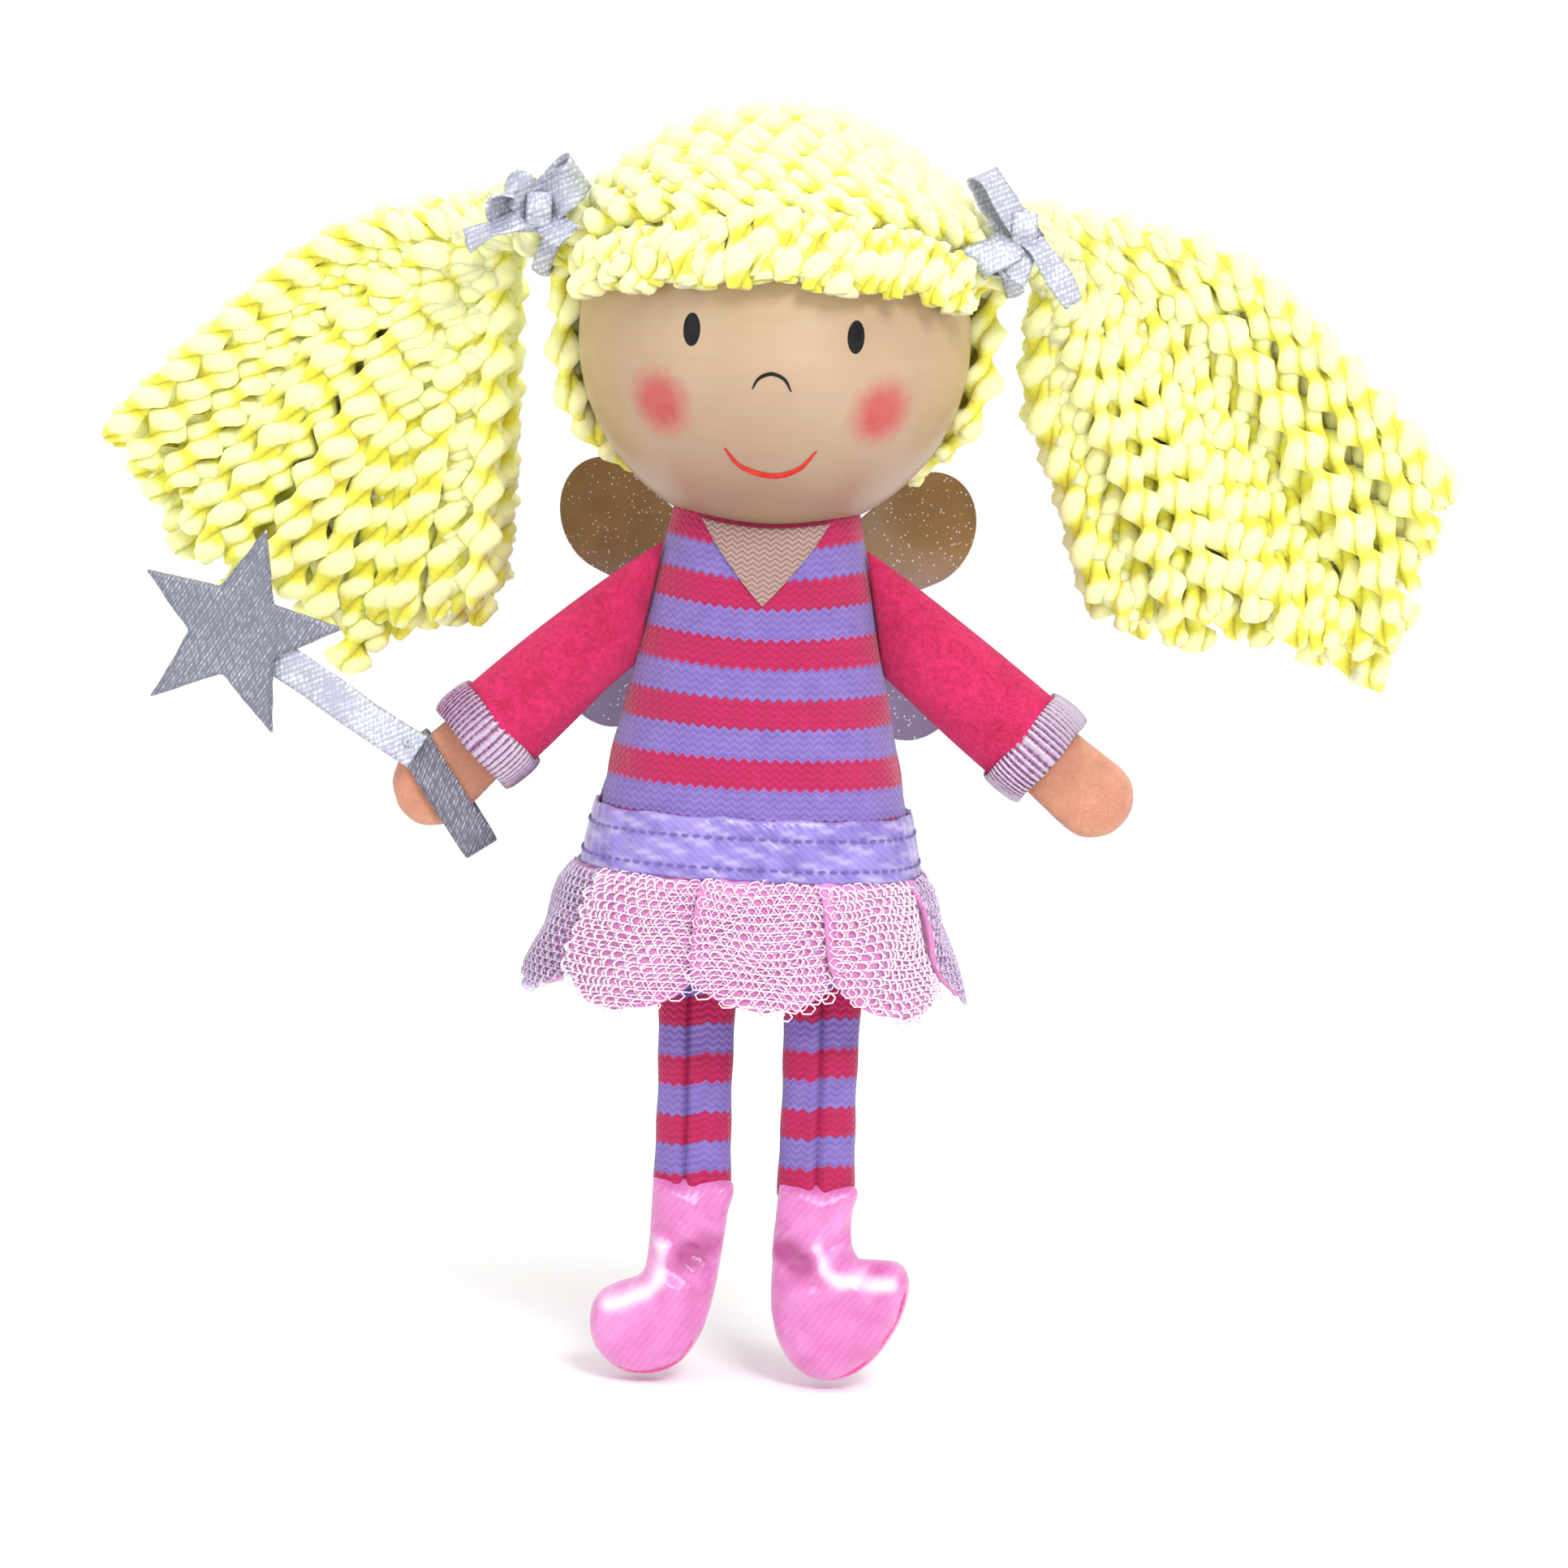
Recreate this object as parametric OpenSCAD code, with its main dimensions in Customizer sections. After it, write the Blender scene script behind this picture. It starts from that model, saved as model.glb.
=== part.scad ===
// Fairy finger puppet. Millimetres, +Z up, front faces -Y.
// Origin: centre of the finger hole's mouth, on the underside of the head ball.
// "Left" and "right" are the puppet's own, so its left hand is on +X.

/* [Head] */
// Diameter of the wooden ball
ball_d = 45; // [36:0.5:60]
// Diameter of the finger hole
bore_d = 15; // [12:0.5:18]
// Depth of the finger hole along its wall
bore_depth = 15; // [10:0.5:20]

/* [Hair] */
// Thickness of the yarn over the ball
hair_t = 2.6; // [1.5:0.1:4]
// Glue gap between ball and yarn
hair_gap = 0.15; // [0.1:0.05:0.4]
// Height of the parting between crown yarn and fringe, above the ball's centre
crown_up = 10.6; // [8:0.2:13]
// Height of the fringe's lower edge above the ball's centre
fringe_up = 5; // [3:0.2:7]
// Half width of the fringe
fringe_half_w = 21.5; // [17:0.5:22]
// Drop of the back hair's lower edge below the ball's centre
back_down = 13; // [10:0.5:14]
// Angle of each bunch above the horizontal, in degrees
bunch_up = 22; // [15:1:30]
// Radius of each gathered bunch
bunch_r = 3.6; // [2.5:0.1:4.5]
// Clear length between a bunch's end and its pigtail
pigtail_clear = 1.5; // [1.2:0.1:3]
// Length of pigtail from its root to its far tip
pigtail_len = 50; // [35:1:60]
// Thickness of the widest part of a pigtail, front to back
pigtail_t = 19; // [14:0.5:22]
// How far back a pigtail's middle hangs
pigtail_back = 16; // [15:0.5:20]

/* [Bows] */
// Width of the ribbon in the bows and the wand
ribbon_w = 4; // [3:0.2:5]
// Thickness of the ribbon
ribbon_t = 0.6; // [0.4:0.1:0.8]

/* [Sleeve] */
// Half width of the sleeve at its top edge
neck_half_w = 11.6; // [10:0.2:14]
// Slack between a finger in the hole and the webbing round it
finger_slack = 0.2; // [0.1:0.05:0.6]
// Half width of the sleeve at its lower edge
hem_half_w = 19.2; // [17:0.2:24]
// Gap between the ball's underside and the sleeve
neck_gap = 2.4; // [2:0.1:4]
// Length of the sleeve
sleeve_len = 37.3; // [30:0.5:48]
// Thickness of the webbing
webbing_t = 1; // [0.6:0.1:1.2]
// Height of the hem tape
tape_h = 7; // [5:0.5:9]
// Thickness of the hem tape and of the neck insert
trim_t = 0.5; // [0.3:0.1:0.8]
// Half width of the neck insert at its top
insert_half_w = 7; // [5:0.5:9]
// Depth of the neck insert
insert_h = 6.4; // [4:0.2:9]

/* [Skirt] */
// Number of petals
petals = 9; // [7:1:9]
// Width of a petal
petal_w = 11; // [8:0.2:11.4]
// Sideways shift of the ring of petals along the hem
petal_shift = 1.8; // [-4:0.2:4]
// Length of a petal
petal_len = 16.5; // [12:0.5:20]
// Thickness of a petal, felt and mesh together
petal_t = 1.2; // [0.8:0.1:1.6]
// Outward lean of the petals, in degrees
petal_flare = 22; // [15:1:30]

/* [Arms] */
// Width of a stuffed arm, seen from the front
arm_w = 12; // [10:0.5:13]
// Thickness of a stuffed arm
arm_t = 8.6; // [7:0.2:10]
// Length from the shoulder's turning point to the middle of the cuff
arm_len = 18.3; // [15:0.5:24]
// Radius of the arm's narrow root
root_r = 3; // [2.5:0.1:4]
// Gap between root and shoulder seam
root_gap = 0.4; // [0.3:0.05:0.8]
// Distance from the sleeve's side to the shoulder's turning point
shoulder_out = 3.9; // [3.7:0.1:5]
// Height of the shoulder's turning point, below the sleeve's top edge
shoulder_down = 10.6; // [8:0.2:14]
// Left arm's angle below the horizontal, in degrees
left_droop = 38; // [30:1:50]
// Right arm's angle below the horizontal, in degrees
right_droop = 44; // [30:1:50]
// How far forward of the sleeve's middle the arms lie
arm_forward = 3; // [2:0.2:5]
// Thickness of the fleece
fleece_t = 1; // [0.6:0.1:1.4]
// Width of a cuff band
cuff_w = 4.8; // [3:0.2:6]
// Thickness of a cuff band
cuff_t = 0.6; // [0.4:0.1:1]
// Width of a hand
hand_w = 9.2; // [7:0.2:10]
// Thickness of a hand, two layers of felt
hand_t = 2.4; // [1.6:0.1:3]
// Length of hand that shows beyond the cuff
hand_len = 11; // [8:0.5:14]

/* [Wand] */
// Distance of the strap's middle from the cuff's edge
strap_out = 5; // [3.5:0.5:7]
// Length of the flattened strap loop across the hand
strap_len = 13.4; // [12:0.2:16]
// Angle of the wand above the horizontal, in degrees
wand_up = 32; // [20:1:45]
// Free length of the wand's ribbon, from its stitch to the star's centre
wand_len = 24.4; // [18:0.5:30]
// Outer radius of the star
star_r = 12.5; // [9:0.5:14]
// Inner radius of the star
star_in_r = 5.3; // [4:0.1:6]
// Lean of the star's top point toward the puppet, in degrees
star_lean = 14.6; // [0:0.2:30]
// Thickness of the star
star_t = 1.2; // [0.8:0.1:2]
// Radius of the thread knot that the wand turns on
stitch_r = 0.7; // [0.5:0.05:0.9]
// Gap between the thread knot and its hole
stitch_gap = 0.05; // [0.03:0.01:0.1]

/* [Legs] */
// Distance of each leg's middle line from the legs' common middle
leg_half_gap = 7.2; // [6.5:0.1:8]
// Sideways place of the legs' common middle
leg_shift = 1.6; // [0:0.1:2]
// Width of a leg
leg_w = 8.8; // [7:0.1:9.4]
// Thickness of a leg
leg_t = 4.2; // [3:0.1:4.4]
// Room in front of the legs inside the hem
leg_room = 4; // [3.8:0.1:6]
// Length of a leg from hip to ankle
leg_len = 38.4; // [30:0.5:50]
// Height of the hip's turning line above the hem's edge
hip_up = 1; // [0.6:0.1:1.4]

/* [Boots] */
// Length of a boot from ankle to sole
boot_h = 21; // [17:0.5:26]
// Reach of a boot's toe sideways from the ankle
boot_reach = 11; // [9:0.5:13]
// Thickness of a stuffed boot
boot_t = 7; // [5:0.2:9]
// Thickness of the satin with its seam allowance
satin_t = 0.8; // [0.5:0.1:1.2]

/* [Wings] */
// Thickness of the film
film_t = 0.4; // [0.3:0.1:0.6]
// Reach of a wing from the middle of the back
wing_reach = 28; // [22:0.5:32]
// Backward sweep of each wing, in degrees
wing_sweep = 32; // [25:1:45]
// Height of the stitched seam
seam_h = 14; // [10:0.5:18]

/* [Clearances] */
// Gap between pieces that move on each other
move_gap = 0.3; // [0.3:0.05:0.6]

/* [Hidden] */
$fn = 48;
ball_r = ball_d / 2;
bore_r = bore_d / 2;
head_z = sqrt(ball_r * ball_r - bore_r * bore_r);
far = 400;
tiny = 0.01;

// hair
hair_in_r = ball_r + hair_gap;
hair_out_r = hair_in_r + hair_t;
crown_z = head_z + crown_up;
fringe_z = head_z + fringe_up;
back_z = head_z - back_down;
bunch_start = ball_r + hair_gap;
tie_at = hair_out_r + 1.2;
tie_len = 2.2;
tie_t = 1.2;
bunch_end = tie_at + tie_len + 0.4;
pigtail_root_r = bunch_r + 0.4;
pigtail_root_at = bunch_end + move_gap + pigtail_clear + pigtail_root_r;

// bows
bow_at = tie_at + tie_len / 2;
bow_knot = 3;
bow_loop = 8;

// sleeve: a tapered oval tube between its top and lower edges, round the finger and the legs
leg_forward = bore_r - finger_slack + leg_t / 2;
neck_half_d = bore_r + finger_slack + webbing_t;
hem_half_d = leg_forward + leg_t / 2 + leg_room;
sleeve_top = -neck_gap;
hem_z = sleeve_top - sleeve_len;
oval_n = 2.5;
oval_sides = 64;
insert_tip_z = sleeve_top - insert_h;

// petals, placed round the sewing line in the middle of the webbing's edge
petal_round_r = petal_w * 0.42;
hem_steps = 360;
hem_line = [for (i = [0:hem_steps]) oval_point(hem_z, -webbing_t / 2, i - 90)];
hem_run = [for (i = 0, run = 0; i <= hem_steps;
    run = run + (i < hem_steps ? norm(hem_line[i + 1] - hem_line[i]) : 0), i = i + 1)
        [run, i - 90]];
hem_around = hem_run[hem_steps][0];

// arms
shoulder_z = sleeve_top - shoulder_down;
shoulder_x = half_w_at(shoulder_z) + shoulder_out;
arm_y = -arm_forward;
arm_full_at = 8;
seam_rise = 8;
arm_end = arm_len + cuff_w / 2;
hand_in = 1.5;
hand_slack = 0.2;
hand_wide = min(hand_w, arm_w - 2 * fleece_t - 2 * hand_slack);
hand_end = arm_end + hand_len;
strap_at = arm_end + strap_out;
strap_gap = 0.1;
strap_side = strap_len / 2;

// wand, in the right hand, which is on -X
strap_front_y = arm_y - hand_t / 2 - strap_gap - ribbon_t;
wand_y = strap_front_y - move_gap - ribbon_t;
knot_at = strap_side - 1.6;
right_dir = [-cos(right_droop), -sin(right_droop)];
knot_x = -shoulder_x + right_dir[0] * strap_at + right_dir[1] * knot_at;
knot_z = shoulder_z + right_dir[1] * strap_at - right_dir[0] * knot_at;
wand_end = 1.4;
star_x = knot_x - cos(wand_up) * wand_len;
star_z = knot_z + sin(wand_up) * wand_len;

// legs and boots
hip_z = hem_z + hip_up;
ankle_z = hip_z - leg_len;
leg_y = -leg_forward;
leg_r = leg_t / 2;
ankle_r = leg_w / 2;
boot_y = leg_y - (boot_t - leg_t) / 2;
boot_toe_r = 4;
boot_sole_r = 5.4;

// wings
seam_top_z = sleeve_top - 6;
back_slope = atan((hem_half_d - neck_half_d) / sleeve_len);
seam_w = 2;
seam_t = 1.4;
wing_gap = seam_w / 2 + move_gap;
upper_lobe_r = 7;
lower_lobe_r = 7.6;
upper_lobe_up = 5.6;
lower_lobe_down = seam_h - 1;

// half width and half depth of the sleeve's outside at a height
function half_w_at(z) = neck_half_w + (hem_half_w - neck_half_w) * (sleeve_top - z) / sleeve_len;
function half_d_at(z) = neck_half_d + (hem_half_d - neck_half_d) * (sleeve_top - z) / sleeve_len;
function signed_pow(v, p) = sign(v) * pow(abs(v), p);
// a point on the sleeve's oval at an angle, grown or shrunk by g
function oval_point(z, g, t) = [
    (half_w_at(z) + g) * signed_pow(cos(t), 2 / oval_n),
    (half_d_at(z) + g) * signed_pow(sin(t), 2 / oval_n),
    z
];
function ring(z, g) = [for (i = [0:oval_sides - 1]) oval_point(z, g, i * 360 / oval_sides)];

// oval tube body between two heights, grown by g
module oval_body(z_low, z_high, g) {
    n = oval_sides;
    faces = concat(
        [[for (i = [0:n - 1]) i]],
        [[for (i = [0:n - 1]) 2 * n - 1 - i]],
        [for (i = [0:n - 1]) [i, n + i, n + (i + 1) % n, (i + 1) % n]]
    );
    polyhedron(points = concat(ring(z_low, g), ring(z_high, g)), faces = faces);
}

// everything in front of (side = -1) or behind (side = 1) the plane y = 0
module half_space_y(side) {
    translate([-far / 2, side < 0 ? -far : 0, -far / 2])
        cube([far, far, far]);
}

// everything above (side = 1) or below (side = -1) a height
module half_space_z(side, z) {
    translate([-far / 2, -far / 2, side < 0 ? z - far : z])
        cube([far, far, far]);
}

// bar with round ends in plan: width along X, thickness along Y, length along Z
module stadium(w, t, len) {
    linear_extrude(height = len) {
        square([w - t, t], center = true);
        for (s = [-1, 1])
            translate([s * (w - t) / 2, 0])
                circle(d = t);
    }
}

// ---- head ----
module head_ball() {
    color("#d9b88f")
        difference() {
            translate([0, 0, head_z])
                sphere(r = ball_r, $fn = 96);
            translate([0, 0, -ball_r])
                cylinder(r = bore_r, h = ball_r + bore_depth, $fn = 64);
        }
}

// yarn shell round the ball
module hair_shell(t) {
    translate([0, 0, head_z])
        difference() {
            sphere(r = hair_in_r + t, $fn = 96);
            sphere(r = hair_in_r, $fn = 96);
        }
}

// places children on a bunch's axis, at a distance from the ball's centre
module on_bunch(side, distance) {
    translate([0, 0, head_z])
        rotate([0, side * (90 - bunch_up), 0])
            translate([0, 0, distance])
                children();
}

// yarn gathered through a tie
module bunch(side) {
    color("#f2ee8a")
        on_bunch(side, bunch_start)
            cylinder(r = bunch_r, h = bunch_end - bunch_start);
}

// room in the shell for the two bunches
module bunch_notches() {
    near = cos(bunch_up) * bunch_start - sin(bunch_up) * bunch_r - hair_gap;
    low = head_z + sin(bunch_up) * bunch_start - cos(bunch_up) * bunch_r - hair_gap;
    high = head_z + sin(bunch_up) * hair_out_r + cos(bunch_up) * bunch_r + hair_gap;
    half = bunch_r + hair_gap;
    for (side = [-1, 1])
        translate([side > 0 ? near : -near - ball_r, -half, low])
            cube([ball_r, 2 * half, high - low]);
}

module hair_top() {
    color("#f2ee8a")
        difference() {
            intersection() {
                hair_shell(hair_t);
                half_space_z(1, crown_z);
            }
            bunch_notches();
        }
}

module hair_fringe() {
    color("#f2ee8a")
        difference() {
            intersection() {
                hair_shell(hair_t);
                translate([-fringe_half_w, -far, fringe_z])
                    cube([2 * fringe_half_w, far, crown_z - fringe_z]);
            }
            bunch_notches();
        }
}

module hair_back() {
    color("#f2ee8a")
        difference() {
            intersection() {
                hair_shell(hair_t);
                translate([-far / 2, 0, back_z])
                    cube([far, far, crown_z - back_z]);
            }
            bunch_notches();
        }
}

module tie(side) {
    color("#d8d8dc")
        on_bunch(side, tie_at)
            difference() {
                cylinder(r = bunch_r + tie_t, h = tie_len);
                translate([0, 0, -1])
                    cylinder(r = bunch_r, h = tie_len + 2);
            }
}

// knot, two loops and two tails of flat ribbon on the front of a tie
module bow(side) {
    color("#d5d8de")
        on_bunch(side, bow_at)
            translate([0, -bunch_r - tie_t - bow_knot / 4, 0]) {
                cube([bow_knot, bow_knot / 2, bow_knot], center = true);
                for (s = [-1, 1])
                    translate([s * (bow_knot / 2 + bow_loop / 2 - 0.1), 0, 0])
                        rotate([0, s * 18, 0])
                            cube([bow_loop, bow_knot / 2 - 0.1, ribbon_w], center = true);
            }
}

// loose bunch of yarn: a fan that hangs outward and back from its tie
module pigtail(side) {
    size = pigtail_len / 50;
    big_r = pigtail_t / 2;
    root_x = cos(bunch_up) * pigtail_root_at;
    root_z = head_z + sin(bunch_up) * pigtail_root_at;
    color("#f2ee8a")
        translate([side * root_x, 0, root_z])
            hull() {
                sphere(r = pigtail_root_r, $fn = 24);
                translate([side * 17 * size, pigtail_back, -7 * size])
                    sphere(r = big_r, $fn = 28);
                translate([side * 38.5 * size, pigtail_back, -28 * size])
                    sphere(r = big_r - 1.5, $fn = 28);
                translate([side * 23 * size, pigtail_back, -41 * size])
                    sphere(r = big_r - 1, $fn = 28);
                translate([side * 6 * size, pigtail_back, -36 * size])
                    sphere(r = big_r - 2.5, $fn = 28);
            }
}

// ---- sleeve ----
module sleeve_panel(side) {
    intersection() {
        difference() {
            oval_body(hem_z, sleeve_top, 0);
            oval_body(hem_z - 1, sleeve_top + 1, -webbing_t);
        }
        half_space_y(side);
    }
}

module sleeve_front() {
    color("#c9306f")
        sleeve_panel(-1);
}

module sleeve_back() {
    color("#9a86cf")
        sleeve_panel(1);
}

module neck_insert() {
    color("#b1948d")
        intersection() {
            difference() {
                oval_body(insert_tip_z - 1, sleeve_top, trim_t);
                oval_body(hem_z, sleeve_top, 0);
            }
            rotate([90, 0, 0])
                linear_extrude(height = far)
                    polygon([
                        [-insert_half_w, sleeve_top],
                        [insert_half_w, sleeve_top],
                        [0, insert_tip_z]
                    ]);
        }
}

module hem_tape() {
    color("#a99ad8")
        difference() {
            oval_body(hem_z, hem_z + tape_h, trim_t);
            oval_body(hem_z, sleeve_top, 0);
        }
}

// one felt tab, hung from the hem's edge and leaning outward
module petal(i) {
    t = lookup((petal_shift + i * hem_around / petals) % hem_around, hem_run);
    seam = oval_point(hem_z, -webbing_t / 2, t);
    before = oval_point(hem_z, -webbing_t / 2, t - 4);
    after = oval_point(hem_z, -webbing_t / 2, t + 4);
    turn = atan2(after[1] - before[1], after[0] - before[0]);
    color("#efc4ea")
        intersection() {
            translate(seam)
                rotate([0, 0, turn])
                    rotate([-petal_flare, 0, 0])
                        rotate([90, 0, 0])
                            translate([0, 0, -petal_t / 2])
                                linear_extrude(height = petal_t) {
                                    translate([-petal_w / 2, -petal_len + petal_round_r])
                                        square([petal_w, petal_len - petal_round_r + 1]);
                                    translate([-petal_w / 2 + petal_round_r, -petal_len])
                                        square([petal_w - 2 * petal_round_r, petal_len]);
                                    for (s = [-1, 1])
                                        translate([
                                            s * (petal_w / 2 - petal_round_r),
                                            -petal_len + petal_round_r
                                        ])
                                            circle(r = petal_round_r);
                                }
            half_space_z(-1, hem_z);
        }
}

// ---- arms ----
// places children in an arm's own frame: X along the arm, Y front to back
module at_shoulder(side, droop) {
    translate([side * shoulder_x, arm_y, shoulder_z])
        mirror([side < 0 ? 1 : 0, 0, 0])
            rotate([0, droop, 0])
                children();
}

// bar along the arm's X axis between two distances
module arm_bar(w, t, from, to) {
    translate([from, 0, 0])
        rotate([0, 90, 0])
            stadium(w, t, to - from);
}

module shoulder_seam(side) {
    color("#d81f63")
        difference() {
            mirror([side < 0 ? 1 : 0, 0, 0])
                translate([0, arm_y + root_r, shoulder_z])
                    rotate([90, 0, 0])
                        linear_extrude(height = 2 * root_r)
                            polygon([
                                [0, -root_r / 2],
                                [shoulder_x, -root_r / 2],
                                [shoulder_x, root_r + 0.6],
                                [half_w_at(shoulder_z + seam_rise), seam_rise],
                                [0, seam_rise]
                            ]);
            oval_body(hem_z, sleeve_top, 0);
            translate([side * shoulder_x, 0, shoulder_z])
                rotate([90, 0, 0])
                    cylinder(r = root_r + root_gap, h = far, center = true);
        }
}

module arm(side, droop) {
    color("#f32a70")
        at_shoulder(side, droop)
            difference() {
                union() {
                    hull() {
                        rotate([90, 0, 0])
                            cylinder(r = root_r, h = 2 * root_r, center = true, $fn = 32);
                        arm_bar(arm_w, arm_t, arm_full_at, arm_full_at + 1);
                    }
                    arm_bar(arm_w, arm_t, arm_full_at + 1, arm_end);
                }
                arm_bar(arm_w - 2 * fleece_t, arm_t - 2 * fleece_t, arm_full_at, arm_end + 1);
            }
}

module arm_filling(side, droop) {
    color("#f4f0ec")
        at_shoulder(side, droop)
            arm_bar(arm_w - 2 * fleece_t, arm_t - 2 * fleece_t, arm_full_at, arm_end - hand_in);
}

module cuff(side, droop) {
    color("#cbbad1")
        at_shoulder(side, droop)
            difference() {
                arm_bar(arm_w + 2 * cuff_t, arm_t + 2 * cuff_t, arm_end - cuff_w, arm_end);
                arm_bar(arm_w, arm_t, arm_end - cuff_w - 1, arm_end + 1);
            }
}

module hand(side, droop) {
    color("#eea283")
        at_shoulder(side, droop)
            rotate([90, 0, 0])
                linear_extrude(height = hand_t, center = true) {
                    translate([arm_end - hand_in, -hand_wide / 2])
                        square([hand_end - hand_wide / 2 - arm_end + hand_in, hand_wide]);
                    translate([hand_end - hand_wide / 2, 0])
                        circle(d = hand_wide);
                }
}

// ---- wand, in the right hand ----
module hand_strap() {
    hole_t = hand_t + 2 * strap_gap;
    hole_w = hand_wide + 2 * strap_gap;
    color("#8f8390")
        at_shoulder(-1, right_droop)
            translate([strap_at, 0, 0])
                difference() {
                    cube([ribbon_w, hole_t + 2 * ribbon_t, strap_len], center = true);
                    cube([ribbon_w + 2, hole_t, hole_w], center = true);
                }
}

module wand_stitch() {
    color("#e8e8ec")
        translate([knot_x, strap_front_y, knot_z])
            rotate([90, 0, 0])
                cylinder(r = stitch_r, h = move_gap + ribbon_t + 0.3);
}

// places children on the wand: X from the knot toward the star
module on_wand() {
    translate([knot_x, wand_y, knot_z])
        rotate([0, 180 + wand_up, 0])
            children();
}

module wand_ribbon() {
    color("#b3b3ca")
        on_wand()
            difference() {
                translate([-wand_end, 0, -ribbon_w / 2])
                    cube([wand_end + wand_len, ribbon_t, ribbon_w]);
                rotate([90, 0, 0])
                    cylinder(r = stitch_r + stitch_gap, h = far, center = true);
            }
}

module wand_star() {
    color("#a2a4b2")
        translate([star_x, wand_y, star_z])
            rotate([90, 0, 0])
                linear_extrude(height = star_t)
                    rotate(90 - star_lean)
                        polygon([
                            for (i = [0:9])
                                (i % 2 == 0 ? star_r : star_in_r) * [cos(i * 36), sin(i * 36)]
                        ]);
}

// ---- legs and boots ----
function leg_x(side) = leg_shift + side * leg_half_gap;

// leg's outside grown by g: round over the hip line, round under the ankle line
module leg_body(g) {
    intersection() {
        translate([0, 0, ankle_z - ankle_r - g])
            stadium(leg_w + 2 * g, leg_t + 2 * g, leg_len + leg_r + ankle_r + 2 * g);
        union() {
            half_space_z(-1, hip_z);
            translate([0, 0, hip_z])
                rotate([0, 90, 0])
                    cylinder(r = leg_r + g, h = far, center = true);
        }
        union() {
            half_space_z(1, ankle_z);
            translate([0, 0, ankle_z])
                rotate([90, 0, 0])
                    cylinder(r = ankle_r + g, h = far, center = true);
        }
    }
}

module leg(side) {
    color("#a08ad6")
        translate([leg_x(side), leg_y, 0])
            difference() {
                leg_body(0);
                leg_body(-webbing_t);
            }
}

module leg_filling(side) {
    color("#f4f0ec")
        translate([leg_x(side), leg_y, 0])
            leg_body(-webbing_t);
}

// boot's outline shrunk by g: shaft, heel and sole, and a round toe to +X
module boot_outline(g) {
    half = leg_w / 2 - g;
    translate([-half, -boot_h / 2])
        square([2 * half, boot_h / 2 - g]);
    hull() {
        translate([boot_reach - boot_toe_r, -boot_h * 0.6])
            circle(r = boot_toe_r - g);
        translate([1.6, boot_sole_r - boot_h])
            circle(r = boot_sole_r - g);
        translate([0.4 - half, -boot_h / 2])
            square([half, tiny]);
    }
}

module boot_body(side, g) {
    translate([leg_x(side), boot_y, ankle_z])
        mirror([side < 0 ? 1 : 0, 0, 0])
            difference() {
                rotate([90, 0, 0])
                    linear_extrude(height = boot_t - 2 * g, center = true)
                        boot_outline(g);
                rotate([90, 0, 0])
                    cylinder(r = ankle_r + move_gap + g, h = far, center = true);
            }
}

module boot(side) {
    color("#f49ae0")
        difference() {
            boot_body(side, 0);
            boot_body(side, satin_t);
        }
}

module boot_filling(side) {
    color("#f4f0ec")
        boot_body(side, satin_t);
}

// ---- wings ----
// places children on the back seam, which leans with the sleeve's back
module on_back_seam() {
    translate([0, half_d_at(seam_top_z), seam_top_z])
        rotate([back_slope, 0, 0])
            children();
}

module wing_seam() {
    color("#7d6fb0")
        difference() {
            on_back_seam()
                translate([-seam_w / 2, -1, -seam_h])
                    cube([seam_w, 1 + seam_t, seam_h]);
            oval_body(hem_z, sleeve_top, 0);
        }
}

// one film wing with an upper and a lower lobe
module wing(side) {
    color("#a88a72", 0.5)
        on_back_seam()
            mirror([side < 0 ? 1 : 0, 0, 0])
                translate([wing_gap, seam_t / 2, 0])
                    rotate([0, 0, wing_sweep])
                        rotate([90, 0, 0])
                            linear_extrude(height = film_t, center = true) {
                                hull() {
                                    translate([0.5, -seam_h / 2])
                                        square([tiny, seam_h / 2]);
                                    translate([wing_reach - upper_lobe_r, upper_lobe_up])
                                        circle(r = upper_lobe_r);
                                }
                                hull() {
                                    translate([0.5, -seam_h])
                                        square([tiny, seam_h / 2]);
                                    translate([wing_reach - lower_lobe_r, -lower_lobe_down])
                                        circle(r = lower_lobe_r);
                                }
                            }
}

head_ball();
hair_top();
hair_fringe();
hair_back();
bunch(1);  // left_bunch
bunch(-1);  // right_bunch
tie(1);  // left_tie
tie(-1);  // right_tie
bow(1);  // left_bow
bow(-1);  // right_bow
pigtail(1);  // left_pigtail
pigtail(-1);  // right_pigtail
sleeve_front();
sleeve_back();
neck_insert();
hem_tape();
wing_seam();
for (i = [1:petals])
    petal(i - 1);
shoulder_seam(1);  // left_shoulder_seam
shoulder_seam(-1);  // right_shoulder_seam
arm(1, left_droop);  // left_arm
arm(-1, right_droop);  // right_arm
arm_filling(1, left_droop);  // left_arm_filling
arm_filling(-1, right_droop);  // right_arm_filling
cuff(1, left_droop);  // left_cuff
cuff(-1, right_droop);  // right_cuff
hand(1, left_droop);  // left_hand
hand(-1, right_droop);  // right_hand
hand_strap();
wand_stitch();
wand_ribbon();
wand_star();
leg(1);  // left_leg
leg(-1);  // right_leg
leg_filling(1);  // left_leg_filling
leg_filling(-1);  // right_leg_filling
boot(1);  // left_boot
boot(-1);  // right_boot
boot_filling(1);  // left_boot_filling
boot_filling(-1);  // right_boot_filling
wing(1);  // left_wing
wing(-1);  // right_wing
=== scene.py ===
# %% [markdown]
# # A fairy finger puppet, sewn and painted in Blender
# The puppet is a turned wooden ball on an open fabric sleeve, with thick yarn hair, stuffed arms
# and boots, film wings and a ribbon wand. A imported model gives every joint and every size. This
# file loads it and dresses it: each fabric piece is cut flat, laid in place and given its finish.

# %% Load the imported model
import math

import bpy
import numpy as np
from mathutils import Matrix, Vector


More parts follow.
